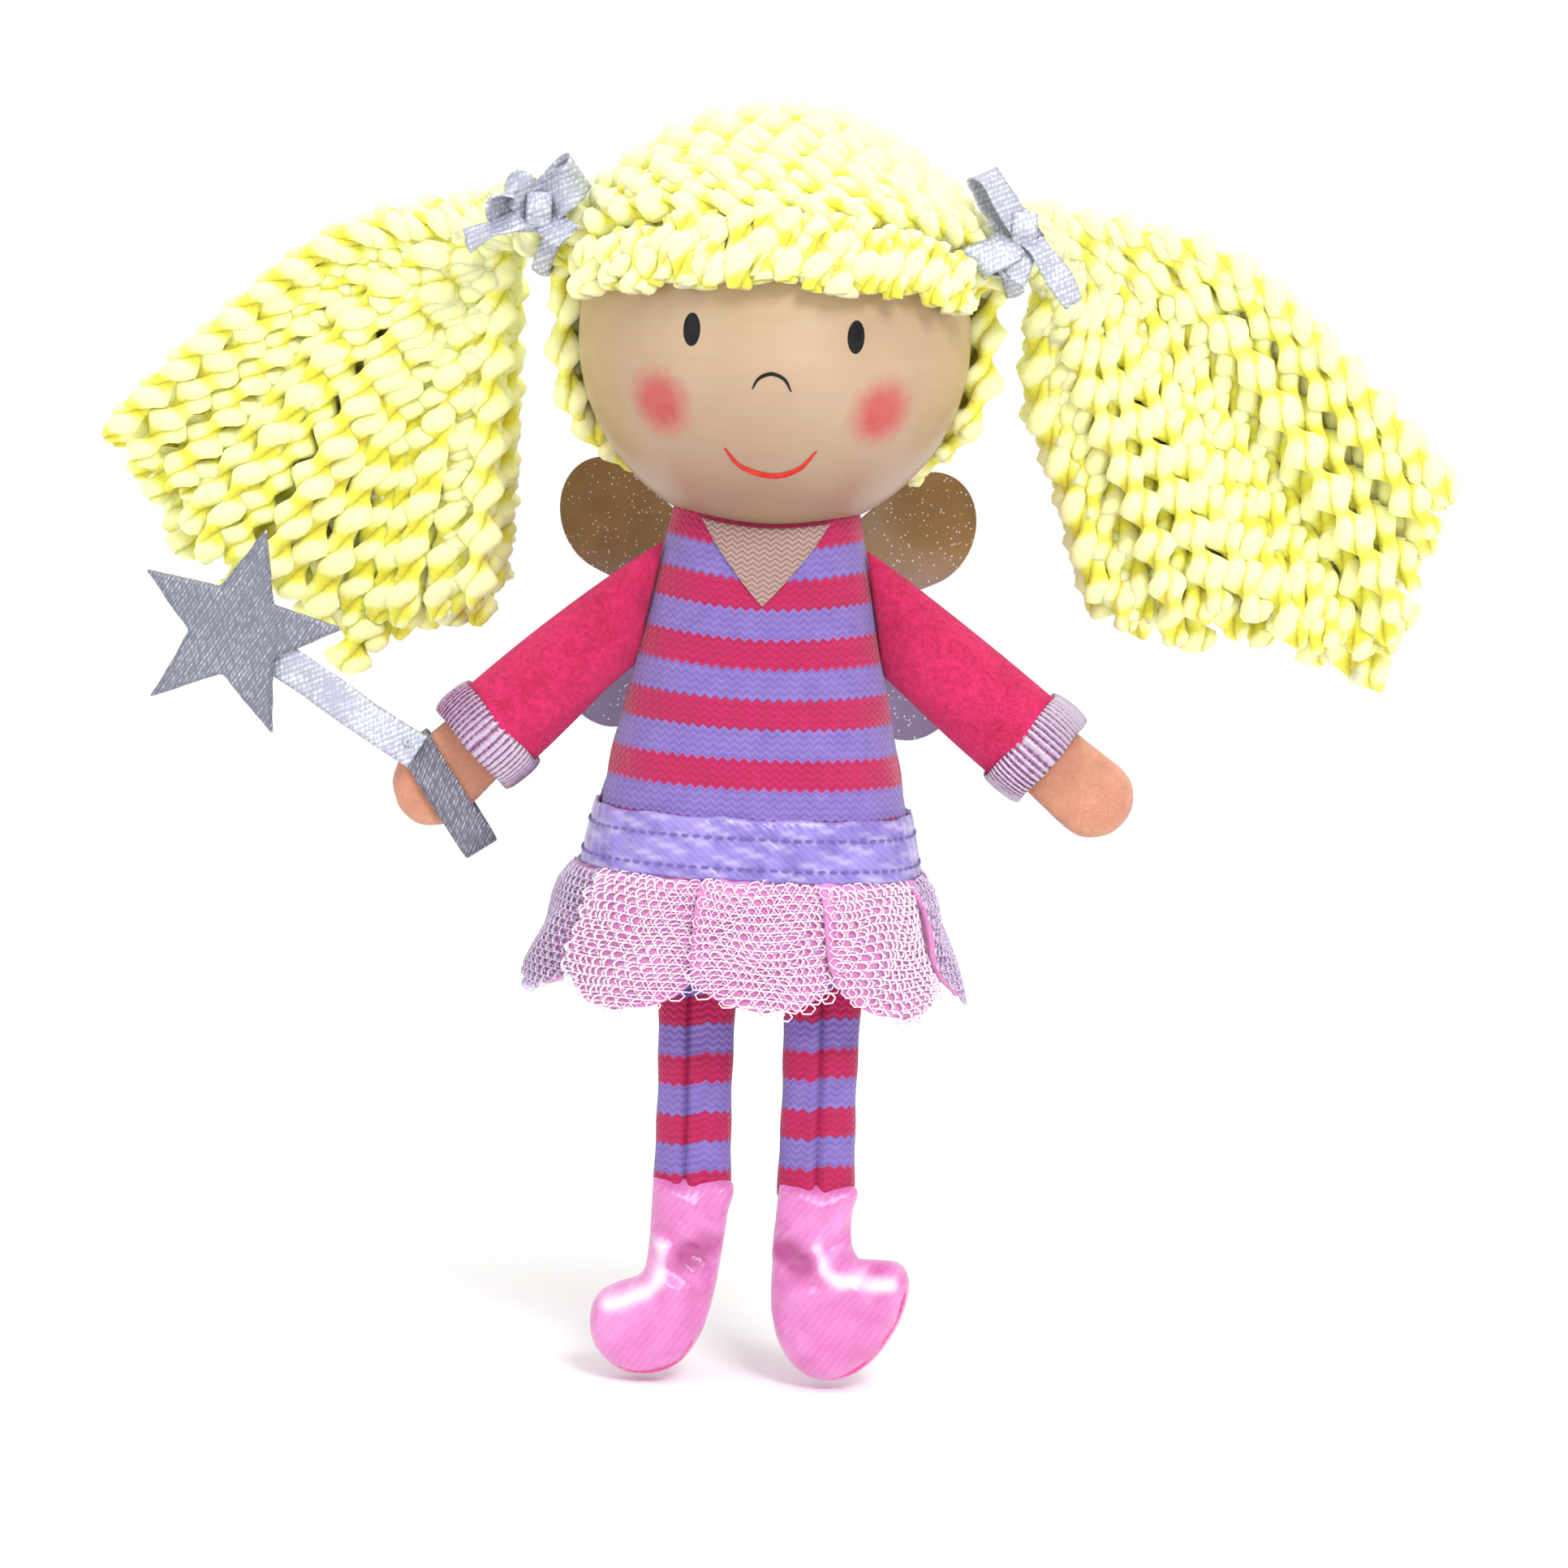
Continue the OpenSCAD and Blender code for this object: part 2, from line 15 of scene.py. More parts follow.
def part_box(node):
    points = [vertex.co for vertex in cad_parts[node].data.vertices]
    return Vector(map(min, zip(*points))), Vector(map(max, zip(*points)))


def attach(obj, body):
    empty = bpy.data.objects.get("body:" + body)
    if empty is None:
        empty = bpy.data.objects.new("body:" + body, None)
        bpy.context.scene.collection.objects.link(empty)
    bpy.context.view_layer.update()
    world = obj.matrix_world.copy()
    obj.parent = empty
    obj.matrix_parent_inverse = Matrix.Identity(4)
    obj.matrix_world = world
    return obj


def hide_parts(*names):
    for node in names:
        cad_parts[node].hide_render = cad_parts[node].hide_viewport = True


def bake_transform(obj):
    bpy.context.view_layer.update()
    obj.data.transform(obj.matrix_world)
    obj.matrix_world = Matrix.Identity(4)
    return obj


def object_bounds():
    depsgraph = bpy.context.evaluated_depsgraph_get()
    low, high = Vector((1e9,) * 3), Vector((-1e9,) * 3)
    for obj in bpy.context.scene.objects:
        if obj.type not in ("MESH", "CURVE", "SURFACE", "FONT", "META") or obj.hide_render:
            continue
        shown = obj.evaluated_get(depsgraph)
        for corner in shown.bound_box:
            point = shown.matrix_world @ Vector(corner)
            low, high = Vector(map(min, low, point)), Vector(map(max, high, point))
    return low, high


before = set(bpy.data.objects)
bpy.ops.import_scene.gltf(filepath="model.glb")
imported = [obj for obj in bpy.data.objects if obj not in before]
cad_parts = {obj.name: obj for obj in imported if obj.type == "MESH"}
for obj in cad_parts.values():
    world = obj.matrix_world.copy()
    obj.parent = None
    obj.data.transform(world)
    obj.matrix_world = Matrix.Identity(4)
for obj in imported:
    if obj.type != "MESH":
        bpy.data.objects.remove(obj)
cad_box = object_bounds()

MM = 0.001
print("CAD box in mm:", [[round(c / MM, 1) for c in corner] for corner in cad_box])

# %% [markdown]
# ## The camera
# A long lens from half a metre keeps the small puppet free of perspective swelling. The camera
# looks a little downward and is rolled slightly, because a puppet held by hand is never level.

# %% Camera
LOOK_AT = Vector((3.44, -2.0, -29.9)) * MM
CAMERA_DISTANCE = 0.503
ELEVATION = math.radians(6)
ROLL = math.radians(2.7)

bpy.ops.object.select_all(action="DESELECT")
away = Vector((0, -math.cos(ELEVATION), math.sin(ELEVATION))) * CAMERA_DISTANCE
bpy.ops.object.camera_add(location=LOOK_AT + away)
camera = bpy.context.object
tilt = Matrix.Rotation(math.pi / 2 - ELEVATION, 4, "X") @ Matrix.Rotation(ROLL, 4, "Z")
camera.rotation_euler = tilt.to_euler()
camera.data.lens = 100
camera.data.sensor_width = 36
camera.data.clip_start = 0.01
camera.data.dof.use_dof = False
bpy.context.scene.camera = camera
print("camera at", [round(c, 3) for c in camera.location])

# %% [markdown]
# ## Floor and light
# The floor is plain and pale, so that coloured light from it doesn't stain the fabric. Large
# area lights act as a photographer's softboxes: their size makes soft shadow edges. Colours
# of bright fabric stay true with the plain "Standard" view.

# %% Floor and softboxes
def linear(hex_colour):
    """An sRGB hex colour such as #c91a62 as linear red, green, blue and alpha."""
    parts = [int(hex_colour[i:i + 2], 16) / 255 for i in (1, 3, 5)]
    return [c / 12.92 if c <= 0.04045 else ((c + 0.055) / 1.055) ** 2.4 for c in parts] + [1.0]


def add_node(tree, kind, settings=None, inputs=None):
    """Adds one node. settings are its properties, inputs are values or sockets to link."""
    node = tree.nodes.new(kind)
    for name, value in (settings or {}).items():
        setattr(node, name, value)
    for name, value in (inputs or {}).items():
        if isinstance(value, bpy.types.NodeSocket):
            tree.links.new(value, node.inputs[name])
        else:
            node.inputs[name].default_value = value
    return node


def new_finish(name, **sockets):
    """A material with a Principled shader, whose sockets are set by name."""
    finish = bpy.data.materials.new(name)
    finish.use_nodes = True
    shader = finish.node_tree.nodes["Principled BSDF"]
    for socket, value in sockets.items():
        shader.inputs[socket.replace("_", " ")].default_value = value
    return finish, finish.node_tree, shader


def here(tree):
    """Each point's place on its object, in metres."""
    return add_node(tree, "ShaderNodeTexCoord").outputs["Object"]


def noise(tree, vector, scale, detail, **more):
    """Random tones from 0 to 1 that change about scale times a metre."""
    return add_node(tree, "ShaderNodeTexNoise", inputs={
        "Vector": vector, "Scale": scale, "Detail": detail, **more}).outputs["Fac"]


def maths(tree, operation, *values):
    """One sum with sockets or numbers."""
    return add_node(tree, "ShaderNodeMath", {"operation": operation},
                    dict(enumerate(values))).outputs[0]


def mapped(tree, value, start, stop, low=0.0, high=1.0, **settings):
    """low where the value is start, high where it is stop, and a blend between them."""
    return add_node(tree, "ShaderNodeMapRange", settings, {
        "Value": value, "From Min": start, "From Max": stop, "To Min": low,
        "To Max": high}).outputs["Result"]


def blended(tree, share, first, second, blend="MIX"):
    """The first colour with a share of the second in it."""
    return add_node(tree, "ShaderNodeMix", {"data_type": "RGBA", "blend_type": blend}, {
        0: share, 6: first, 7: second}).outputs[2]


def tones(tree, value, *stops):
    """A colour for each value. The stops are (value, hex colour), in rising order."""
    node = add_node(tree, "ShaderNodeValToRGB", inputs={"Fac": value})
    knots = node.color_ramp.elements
    for knot, (position, colour) in ((0, stops[0]), (1, stops[-1])):
        knots[knot].position = position
        knots[knot].color = linear(colour)
    for position, colour in stops[1:-1]:
        knots.new(position).color = linear(colour)
    return node.outputs["Color"]


def finish_with(tree, shader, colour, height=None, strength=0.0, depth=0.0):
    """Gives the shader its colour and, from height, a fine relief that is depth metres deep."""
    tree.links.new(colour, shader.inputs["Base Color"])
    if height is not None:
        bump = add_node(tree, "ShaderNodeBump", inputs={
            "Height": height, "Strength": strength, "Distance": depth})
        tree.links.new(bump.outputs["Normal"], shader.inputs["Normal"])


bpy.context.scene.view_settings.view_transform = "Standard"
world = bpy.data.worlds.new("bright studio")
bpy.context.scene.world = world
world.use_nodes = True
tree = world.node_tree
background = tree.nodes["Background"].inputs
background["Color"].default_value = (1, 1, 1, 1)
view = add_node(tree, "ShaderNodeTexCoord").outputs["Generated"]
view = add_node(tree, "ShaderNodeSeparateXYZ", inputs={"Vector": view}).outputs
wall = mapped(tree, view["Z"], 0.12, 0.3, 1.02, 0.4)       # white all round, near the floor
backdrop = mapped(tree, view["Y"], 0.0, 0.6, 0.4, 1.05)
ceiling = mapped(tree, view["Z"], 0.2, 1.0, 0.4, 1.3)
room = maths(tree, "MAXIMUM", maths(tree, "MAXIMUM", backdrop, ceiling), wall)
tree.links.new(room, background["Strength"])

FLOOR_Z = cad_box[0][2] - 0.0006
bpy.ops.mesh.primitive_plane_add(size=6, location=(0, 0, FLOOR_Z))
floor = bpy.context.object
floor.name = "floor"
paper, tree, shader = new_finish("white paper floor", Roughness=0.9)
grain = noise(tree, here(tree), 900.0, 3.0)
finish_with(tree, shader, tones(tree, grain, (0.0, "#fbfbfa"), (1.0, "#fefefe")))
floor.data.materials.append(paper)

SOFTBOXES = [((0.24, -0.58, 0.48), 0.25, 3.4), ((-0.55, -0.5, 0.2), 0.4, 0.5),
             ((0.08, -0.15, 0.65), 0.25, 1.2)]
for place, size, watts in SOFTBOXES:
    bpy.ops.object.light_add(type="AREA", location=place)
    softbox = bpy.context.object
    softbox.data.size = size
    softbox.data.energy = watts
    aim = Vector((0, 0, -0.02)) - Vector(place)
    softbox.rotation_euler = aim.to_track_quat("-Z", "Y").to_euler()
print("floor at", round(FLOOR_Z / MM, 2), "mm, softboxes:", len(SOFTBOXES))

# %% [markdown]
# ## Tools for cloth
# Every woven or felt piece starts as a flat grid, cut to its real size, because that is how the
# real one starts. `laid` moves the grid's points to their places and keeps the flat lengths, in
# metres, in a UV map. A weave that reads this map keeps its scale however the cloth bends.

# %% Laying flat cloth
def clean_start():
    """Leaves nothing selected, so that an operator acts on the new piece only."""
    if bpy.context.object and bpy.context.object.mode != "OBJECT":
        bpy.ops.object.mode_set(mode="OBJECT")
    bpy.ops.object.select_all(action="DESELECT")


def only(piece):
    clean_start()
    piece.select_set(True)
    bpy.context.view_layer.objects.active = piece
    return piece


def points_of(piece):
    co = np.zeros(len(piece.data.vertices) * 3)
    piece.data.vertices.foreach_get("co", co)
    return co.reshape(-1, 3)


def move_points(piece, co):
    piece.data.vertices.foreach_set("co", np.asarray(co, float).ravel())
    piece.data.update()


def smooth(piece):
    piece.data.polygons.foreach_set("use_smooth", [True] * len(piece.data.polygons))
    piece.data.update()


def apply_modifier(piece, kind, **settings):
    only(piece)
    modifier = piece.modifiers.new(kind.lower(), kind)
    for name, value in settings.items():
        setattr(modifier, name, value)
    bpy.ops.object.modifier_apply(modifier=modifier.name)


def edited(piece, *steps):
    """Runs mesh operators, each with its settings, on all of a piece."""
    only(piece)
    bpy.ops.object.mode_set(mode="EDIT")
    for operator, settings in steps:
        bpy.ops.mesh.select_all(action="SELECT")
        operator(**settings)
    bpy.ops.object.mode_set(mode="OBJECT")


FACE_OUT = (bpy.ops.mesh.normals_make_consistent, {"inside": False})


def merge_points(piece, distance=0.00002):
    edited(piece, (bpy.ops.mesh.remove_doubles, {"threshold": distance}))


def built(name, co, faces):
    """A new piece from its points, in metres, and its faces."""
    mesh = bpy.data.meshes.new(name)
    mesh.from_pydata(co.tolist(), [], faces)
    piece = bpy.data.objects.new(name, mesh)
    bpy.context.collection.objects.link(piece)
    return piece


def mark(piece, name, values):
    """Keeps one number for each point of a piece, for its finish to read."""
    piece.data.attributes.new(name, "FLOAT", "POINT").data.foreach_set(
        "value", np.asarray(values).astype(np.float32))


def squarer(circle, power):
    """Makes a round section's sines or cosines into those of a squarer or flatter one."""
    return np.sign(circle) * np.abs(circle) ** power


def laid(name, cols, rows, place, flat, thick=0.0, closed=False):
    """A grid whose points go to place(u, v), u and v from 0 to 1, in mm. flat(u, v) is the same
    point on the flat cloth in mm. Thickness goes inward from the face."""
    clean_start()
    bpy.ops.mesh.primitive_grid_add(x_subdivisions=cols, y_subdivisions=rows, size=1,
                                    location=(0, 0, 0))
    piece = bpy.context.object
    piece.name = name
    co = points_of(piece)
    u, v = co[:, 0] + 0.5, co[:, 1] + 0.5
    cloth = piece.data.uv_layers[0]
    cloth.name = "flat"
    corner = np.zeros(len(piece.data.loops), int)
    piece.data.loops.foreach_get("vertex_index", corner)
    fu, fv = flat(u, v)
    sheet_uv = np.stack([fu + 0 * u, fv + 0 * u], 1) * MM
    cloth.data.foreach_set("uv", sheet_uv[corner].ravel())
    x, y, z = place(u, v)
    move_points(piece, np.stack([x + 0 * u, y + 0 * u, z + 0 * u], 1) * MM)
    if closed:
        merge_points(piece)
    if thick:
        apply_modifier(piece, "SOLIDIFY", thickness=thick * MM, offset=-1)
    smooth(piece)
    return piece


def dress(piece, finish, body, slot, *nodes):
    """Gives a finished piece its material and hides the CAD nodes that it stands for. A body given
    as one name carries the piece; a body given as a tuple of two names and two points is not used.
    """
    piece.data.materials.clear()
    piece.data.materials.append(finish)
    if isinstance(body, str):
        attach(piece, body)
    else:
        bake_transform(piece)
    if nodes:
        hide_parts(*nodes)
    print(piece.name, len(piece.data.polygons), "faces")
    return piece


def wobble(co, size, seed, amount):
    """A smooth pseudo-random push for each point, from a few sine waves of that size in mm."""
    rng = np.random.default_rng(seed)
    push = np.zeros_like(co)
    for _ in range(6):
        wave = rng.normal(size=3) / (size * MM)
        push += np.sin(co @ wave + rng.uniform(0, 6.3))[:, None] * rng.normal(size=3)
    return push * amount * MM / 6


# %% [markdown]
# ## Tools for thread and yarn
# Two-ply yarn is two fat threads twisted round each other. One length is made once: two small
# circles beside the axis are swept upward and round by the Screw modifier. Then each ply is
# swollen twice a turn, which gives the row of beads that thick soft yarn shows. Copies of this
# length are bent along paths.

# %% One length of two-ply yarn
PLY_SIDES = 8
YARN_STEP = 0.75      # mm between rings
YARN_LENGTH = 96.0    # mm, longer than the longest strand
YARN_TURN = 10.0      # mm for one whole twist
PLY_R = 1.2           # mm
PLY_OFF = 0.75        # mm from the yarn's middle to each ply's middle

clean_start()
rings = int(YARN_LENGTH / YARN_STEP)
bpy.ops.mesh.primitive_circle_add(vertices=PLY_SIDES, radius=PLY_R, location=(PLY_OFF, 0, 0))
yarn = bpy.context.object
bpy.ops.object.mode_set(mode="EDIT")
bpy.ops.mesh.primitive_circle_add(vertices=PLY_SIDES, radius=PLY_R, location=(-PLY_OFF, 0, 0))
bpy.ops.object.mode_set(mode="OBJECT")
bpy.ops.object.transform_apply(location=True)
apply_modifier(yarn, "SCREW", steps=rings, render_steps=rings, screw_offset=YARN_LENGTH,
               angle=YARN_LENGTH / YARN_TURN * math.tau, use_smooth_shade=True)
RING = PLY_SIDES * 2
yarn_co = points_of(yarn)
yarn_faces = np.array([list(f.vertices) for f in yarn.data.polygons])
bpy.data.objects.remove(yarn)
order = np.argsort(np.round(yarn_co[:, 2] / (YARN_LENGTH / rings)), kind="stable")
place_of = np.empty(len(order), int)
place_of[order] = np.arange(len(order))
yarn_co, yarn_faces = yarn_co[order], place_of[yarn_faces]
print("yarn rings:", rings, "points:", len(yarn_co))


# %% Bending yarn along paths
def curve_points(stops, count=40):
    """A smooth path through a few stops (Catmull-Rom), as evenly spaced points in mm."""
    p = np.array(stops, float)
    p = np.vstack([2 * p[0] - p[1], p, 2 * p[-1] - p[-2]])
    out = []
    for a, b, c, d in zip(p[:-3], p[1:-2], p[2:-1], p[3:]):
        for t in np.linspace(0, 1, 16, endpoint=False):
            out.append(0.5 * (2 * b + (c - a) * t + (2 * a - 5 * b + 4 * c - d) * t ** 2
                              + (3 * b - a - 3 * c + d) * t ** 3))
    out = np.array(out + [p[-2]])
    run = np.r_[0, np.cumsum(np.linalg.norm(np.diff(out, axis=0), axis=1))]
    even = np.linspace(0, run[-1], count)
    return np.stack([np.interp(even, run, out[:, k]) for k in range(3)], 1)


def path_frames(path):
    """Direction and two side directions at each point, carried along without twist."""
    ahead = np.gradient(path, axis=0)
    ahead /= np.linalg.norm(ahead, axis=1)[:, None]
    side = np.cross(ahead[0], (0.3, 0.9, 0.1))
    sides = []
    for d in ahead:
        side = side - d * (side @ d)
        side /= np.linalg.norm(side)
        sides.append(side)
    sides = np.array(sides)
    return ahead, sides, np.cross(ahead, sides)


def along(path, run, s, values):
    return np.stack([np.interp(s, run, values[:, k]) for k in range(3)], 1)


cut_lengths = []


def strand(stops, rng, fat=1.0, start_thin=1.0, fray=0.0, pale=0.0):
    """Points, faces, painted ply light and tint of one bent yarn length that ends with the path.
    The painted ply light is painted shade in the grooves between plies and a painted highlight on
    their crests.
    """
    path = curve_points(stops)
    run = np.r_[0, np.cumsum(np.linalg.norm(np.diff(path, axis=0), axis=1))]
    cut_lengths.append(run[-1])
    count = max(4, min(int(run[-1] / YARN_STEP), rings))
    keep = count * RING
    co = yarn_co[:keep].copy()
    faces = yarn_faces[(yarn_faces < keep).all(1)]
    s, turn = co[:, 2].copy(), rng.uniform(0, math.tau)
    stretch = rng.uniform(0.88, 1.12)
    twist = s * (stretch - 1) * math.tau / YARN_TURN + turn
    x = co[:, 0] * np.cos(twist) - co[:, 1] * np.sin(twist)
    y = co[:, 0] * np.sin(twist) + co[:, 1] * np.cos(twist)
    phase = s * stretch * math.tau * 2 / YARN_TURN
    lump = 1 + 0.30 * np.sin(phase + turn) + 0.1 * np.sin(s * 0.9 + turn * 3)
    ends = np.clip(s / 2.5, 0, 1) * (1 - start_thin) + start_thin
    tail = np.clip((s[-1] - s) / 2.4, 0, 1) ** 0.5
    size = lump * ends * fat * (0.35 + 0.65 * tail + fray * (1 - tail))
    far = np.hypot(x, y)
    ahead, side, other = path_frames(path)
    centre, n, b = (along(path, run, s, k) for k in (path, side, other))
    out = centre + n * (x * size)[:, None] + b * (y * size)[:, None]
    # Painted light: low in the grooves between plies as painted shade, high on their crests as a
    # painted highlight.
    painted_ply_light = np.clip((far - 0.35) / 1.6, 0, 1) * (0.72 + 0.4 * np.sin(phase + turn))
    caps = []
    for ring in (0, count - 1):
        for ply in (0, 1):
            cap = [ring * RING + ply * PLY_SIDES + k for k in range(PLY_SIDES)]
            caps.append(cap if ring else cap[::-1])
    # pale is added to the tint as a painted highlight, for strands that light falls on from above.
    return out, faces, caps, np.clip(painted_ply_light, 0, 1), np.full(len(out), rng.uniform(0, 1) + pale)


def yarn_piece(name, strands):
    """One mesh from many bent strands, with attributes for the yarn's colour: painted shade in the
    grooves and painted highlights on the crests, and tint.
    """
    points, faces, painted_ply_light, tint, first = [], [], [], [], 0
    for co, quads, caps, c, t in strands:
        points.append(co)
        faces += (quads + first).tolist() + [[k + first for k in cap] for cap in caps]
        painted_ply_light.append(c)
        tint.append(t)
        first += len(co)
    print(name, len(strands), "lengths,", round(sum(cut_lengths[-len(strands):])), "mm in all")
    co = np.vstack(points) * MM
    co += wobble(co, 1.1, 5, 0.22) + wobble(co, 0.5, 6, 0.12)
    piece = built(name, co, faces)
    mark(piece, "painted_ply_light", np.concatenate(painted_ply_light))
    mark(piece, "tint", np.concatenate(tint))
    edited(piece, FACE_OUT)
    smooth(piece)
    return piece


# %% [markdown]
# ## Chunky acrylic yarn
# Fluffy acrylic yarn scatters light, so it is rough and has sheen. Its colour is painted deep and
# saturated in the grooves between plies, as painted shade, and nearly white on the crests, as a
# painted highlight. An attribute of the strands tells the material where each point lies. Loose
# fibres are about 0.3 mm apart.

# %% Yarn finish
yarn_finish, tree, shader = new_finish("fluffy acrylic yarn", Roughness=0.8, Sheen_Weight=0.3,
                                       Sheen_Roughness=0.5, Subsurface_Weight=0.4,
                                       Subsurface_Scale=0.0022)
shader.inputs["Subsurface Radius"].default_value = (1.0, 0.95, 0.25)
painted_ply_light = add_node(tree, "ShaderNodeAttribute", {"attribute_name": "painted_ply_light"}).outputs["Fac"]
tint = add_node(tree, "ShaderNodeAttribute", {"attribute_name": "tint"}).outputs["Fac"]
place = here(tree)
fibre = noise(tree, place, 1400.0, 4.0, Roughness=0.7)
shade = maths(tree, "MULTIPLY_ADD", fibre, 0.42, painted_ply_light)
shade = maths(tree, "MULTIPLY_ADD", noise(tree, place, 130.0, 1.0), 0.3, shade)
shade = maths(tree, "MULTIPLY_ADD", tint, 0.12, shade)
# Painted shade: deep yellow in the grooves. Painted highlight: near white on the crests.
yarn_colour_with_painted_light = tones(tree, shade, (0.42, "#d6c61c"), (0.74, "#ece74e"), (1.0, "#fbfbb4"))
finish_with(tree, shader, yarn_colour_with_painted_light, fibre, 0.6, 0.0003)

# %% [markdown]
# ## Pigtails
# Each pigtail is a loose fan of strands. They leave the tie together, swing outward and then
# fall under their own weight. Strands are set in four layers from front to back, and their ends
# follow the outline of the bunch, from the far tip round to the inner side.

# %% Pigtail strands
HEAD_Z = 21.213
BALL_R = 22.5
TIE_UP = math.radians(22)


def fan(side, ends, tops, layers, seed, lean):
    """Strands from the tie to ends. ends and tops are outline points (x, z) from the outer to
    the inner side, and each layer is (depth y, number of strands, share of full length,
    fatness)."""
    rng = np.random.default_rng(seed)
    out = []
    ends, tops = np.array(ends, float), np.array(tops, float)
    share = np.linspace(0, 1, len(ends))
    for depth, count, reach, fat in layers:
        for i in range(count):
            f = (i + 0.5 + rng.uniform(-0.25, 0.25)) / count
            end = [np.interp(f, share, ends[:, k]) for k in (0, 1)]
            top = [np.interp(f, share, tops[:, k]) for k in (0, 1)]
            root_r = rng.uniform(0, 2.0)
            root_a = rng.uniform(0, math.tau)
            root = (26.6, root_r * math.cos(root_a), 31.9 + root_r * math.sin(root_a))
            y = depth + rng.uniform(-2.2, 2.2)
            sway = rng.uniform(-1.3, 1.3)
            pull = reach * rng.uniform(0.93, 1.03)
            mid = [top[k] + (end[k] - top[k]) * 0.5 + (0, 1.5)[k] for k in (0, 1)]
            stop = [top[k] + (end[k] - top[k]) * pull for k in (0, 1)]
            stops = [root, (31.5, 1.5 + y * 0.2, root[2] + 1.5 + lean), (top[0], y * 0.8, top[1]),
                     (mid[0], y + sway, mid[1]), (stop[0], y * 0.97, stop[1])]
            stops = [(side * a, b, c) for a, b, c in stops]
            out.append(strand(stops, rng, fat=fat * rng.uniform(0.93, 1.07), start_thin=0.6))
    return out


LAYERS = [(7.0, 16, 0.95, 1.12), (11.5, 16, 1.0, 1.26), (17.5, 13, 0.97, 1.35),
          (22.5, 12, 0.92, 1.15)]
RIGHT_ENDS = [(80.0, 5.0), (72.5, -2.5), (68.0, -10.5), (59.5, -15.0), (49.0, -21.0),
              (39.5, -16.0), (31.8, -14.5)]
RIGHT_TOPS = [(50.0, 31.0), (49.0, 27.0), (46.5, 23.5), (42.0, 21.0), (38.5, 19.5),
              (35.0, 19.0), (31.8, 19.5)]
LEFT_ENDS = [(84.0, 4.0), (77.5, -6.5), (75.0, -17.5), (65.5, -14.0), (56.0, -12.5),
             (46.5, -14.5), (39.5, -10.0)]
LEFT_TOPS = [(52.0, 32.0), (50.0, 28.0), (48.5, 24.0), (44.0, 21.0), (39.0, 19.0),
             (34.5, 18.0), (30.5, 17.5)]
for label, side, ends, tops, seed in (("right", -1, RIGHT_ENDS, RIGHT_TOPS, 11),
                                      ("left", 1, LEFT_ENDS, LEFT_TOPS, 12)):
    pigtail = yarn_piece(f"{label}_pigtail_yarn", fan(side, ends, tops, LAYERS, seed, 0.5))
    dress(pigtail, yarn_finish, ("head", f"{label}_pigtail", (side * 27.0 * MM, 0, 32 * MM),
          (side * 34.0 * MM, 0.002, 34 * MM)), "yarn", f"{label}_pigtail")

# %% [markdown]
# ## Hair on the ball
# The crown yarn runs from tie to tie across the head, like lines of longitude whose poles are
# the two ties. The same rule goes on over the back. The fringe is cut short: many stubby ends
# hang straight down over the forehead from under the crown.

# %% Crown, back, bunches and fringe
YARN_LIE = BALL_R + 1.75
POLE = {s: np.array((s * math.cos(TIE_UP), 0, math.sin(TIE_UP))) for s in (-1, 1)}


def over_the_head(angle, lift=0.0, reach=2.0):
    """Stops of a strand from tie to tie. angle is 0 at the front, 90 on top, 180 behind."""
    a = math.radians(angle)
    mid = np.array((0, -math.cos(a), math.sin(a)))
    stops = []
    for t in np.linspace(0, 1, 13):
        d = (1 - t) ** 2 * POLE[-1] + 2 * (1 - t) * t * reach * mid + t ** 2 * POLE[1]
        d /= np.linalg.norm(d)
        r = YARN_LIE + lift + 2.4 * abs(2 * t - 1) ** 8
        stops.append(d * r + (0, 0, HEAD_Z))
    return stops


rng = np.random.default_rng(3)
# pale=0.8 paints a highlight on the crown, where light falls on the top of the head.
crown = [strand(over_the_head(a, rng.uniform(0, 0.5)), rng, pale=0.8)
         for a in np.arange(28, 118, 6.0)]
under_rng = np.random.default_rng(4)
crown += [strand(over_the_head(a, -2.0), under_rng, fat=0.62) for a in (17, 22)]
crown_piece = yarn_piece("crown_yarn", crown)
dress(crown_piece, yarn_finish, "head", "yarn", "hair_top")
back = [strand(over_the_head(a, rng.uniform(-0.2, 0.3)), rng) for a in np.arange(121, 216, 6.2)]
for side in (-1, 1):
    for y, low in ((2.5, 10.0), (5.5, 7.0), (9.0, 4.5), (12.5, 3.5)):
        drop = []
        for z in np.linspace(31.0, low, 7):
            around = math.sqrt(max((YARN_LIE + 0.2) ** 2 - (z - HEAD_Z) ** 2, 1))
            across = math.sqrt(max(around ** 2 - y ** 2, 1))
            drop.append((side * (across + (1.6 if z > 27 else 0)), y, z))
        back.append(strand(drop, rng))
back_piece = yarn_piece("back_yarn", back)
dress(back_piece, yarn_finish, "head", "yarn", "hair_back")
for label, side in (("right", -1), ("left", 1)):
    gathered = []
    for i in range(7):
        a = i * math.tau / 6
        r = 0 if i == 6 else 2.3
        stops = []
        for d in (22.6, 25.0, 28.5):
            off = r * (1.15 if d < 24 else 0.8)
            p = POLE[side] * d + (0, 0, HEAD_Z)
            p = p + np.array((-side * math.sin(TIE_UP) * off * math.cos(a), off * math.sin(a),
                              math.cos(TIE_UP) * off * math.cos(a)))
            stops.append(p)
        gathered.append(strand(stops, rng, fat=0.9))
    bunch = yarn_piece(f"{label}_bunch_yarn", gathered)
    dress(bunch, yarn_finish, "head", "yarn", f"{label}_bunch")

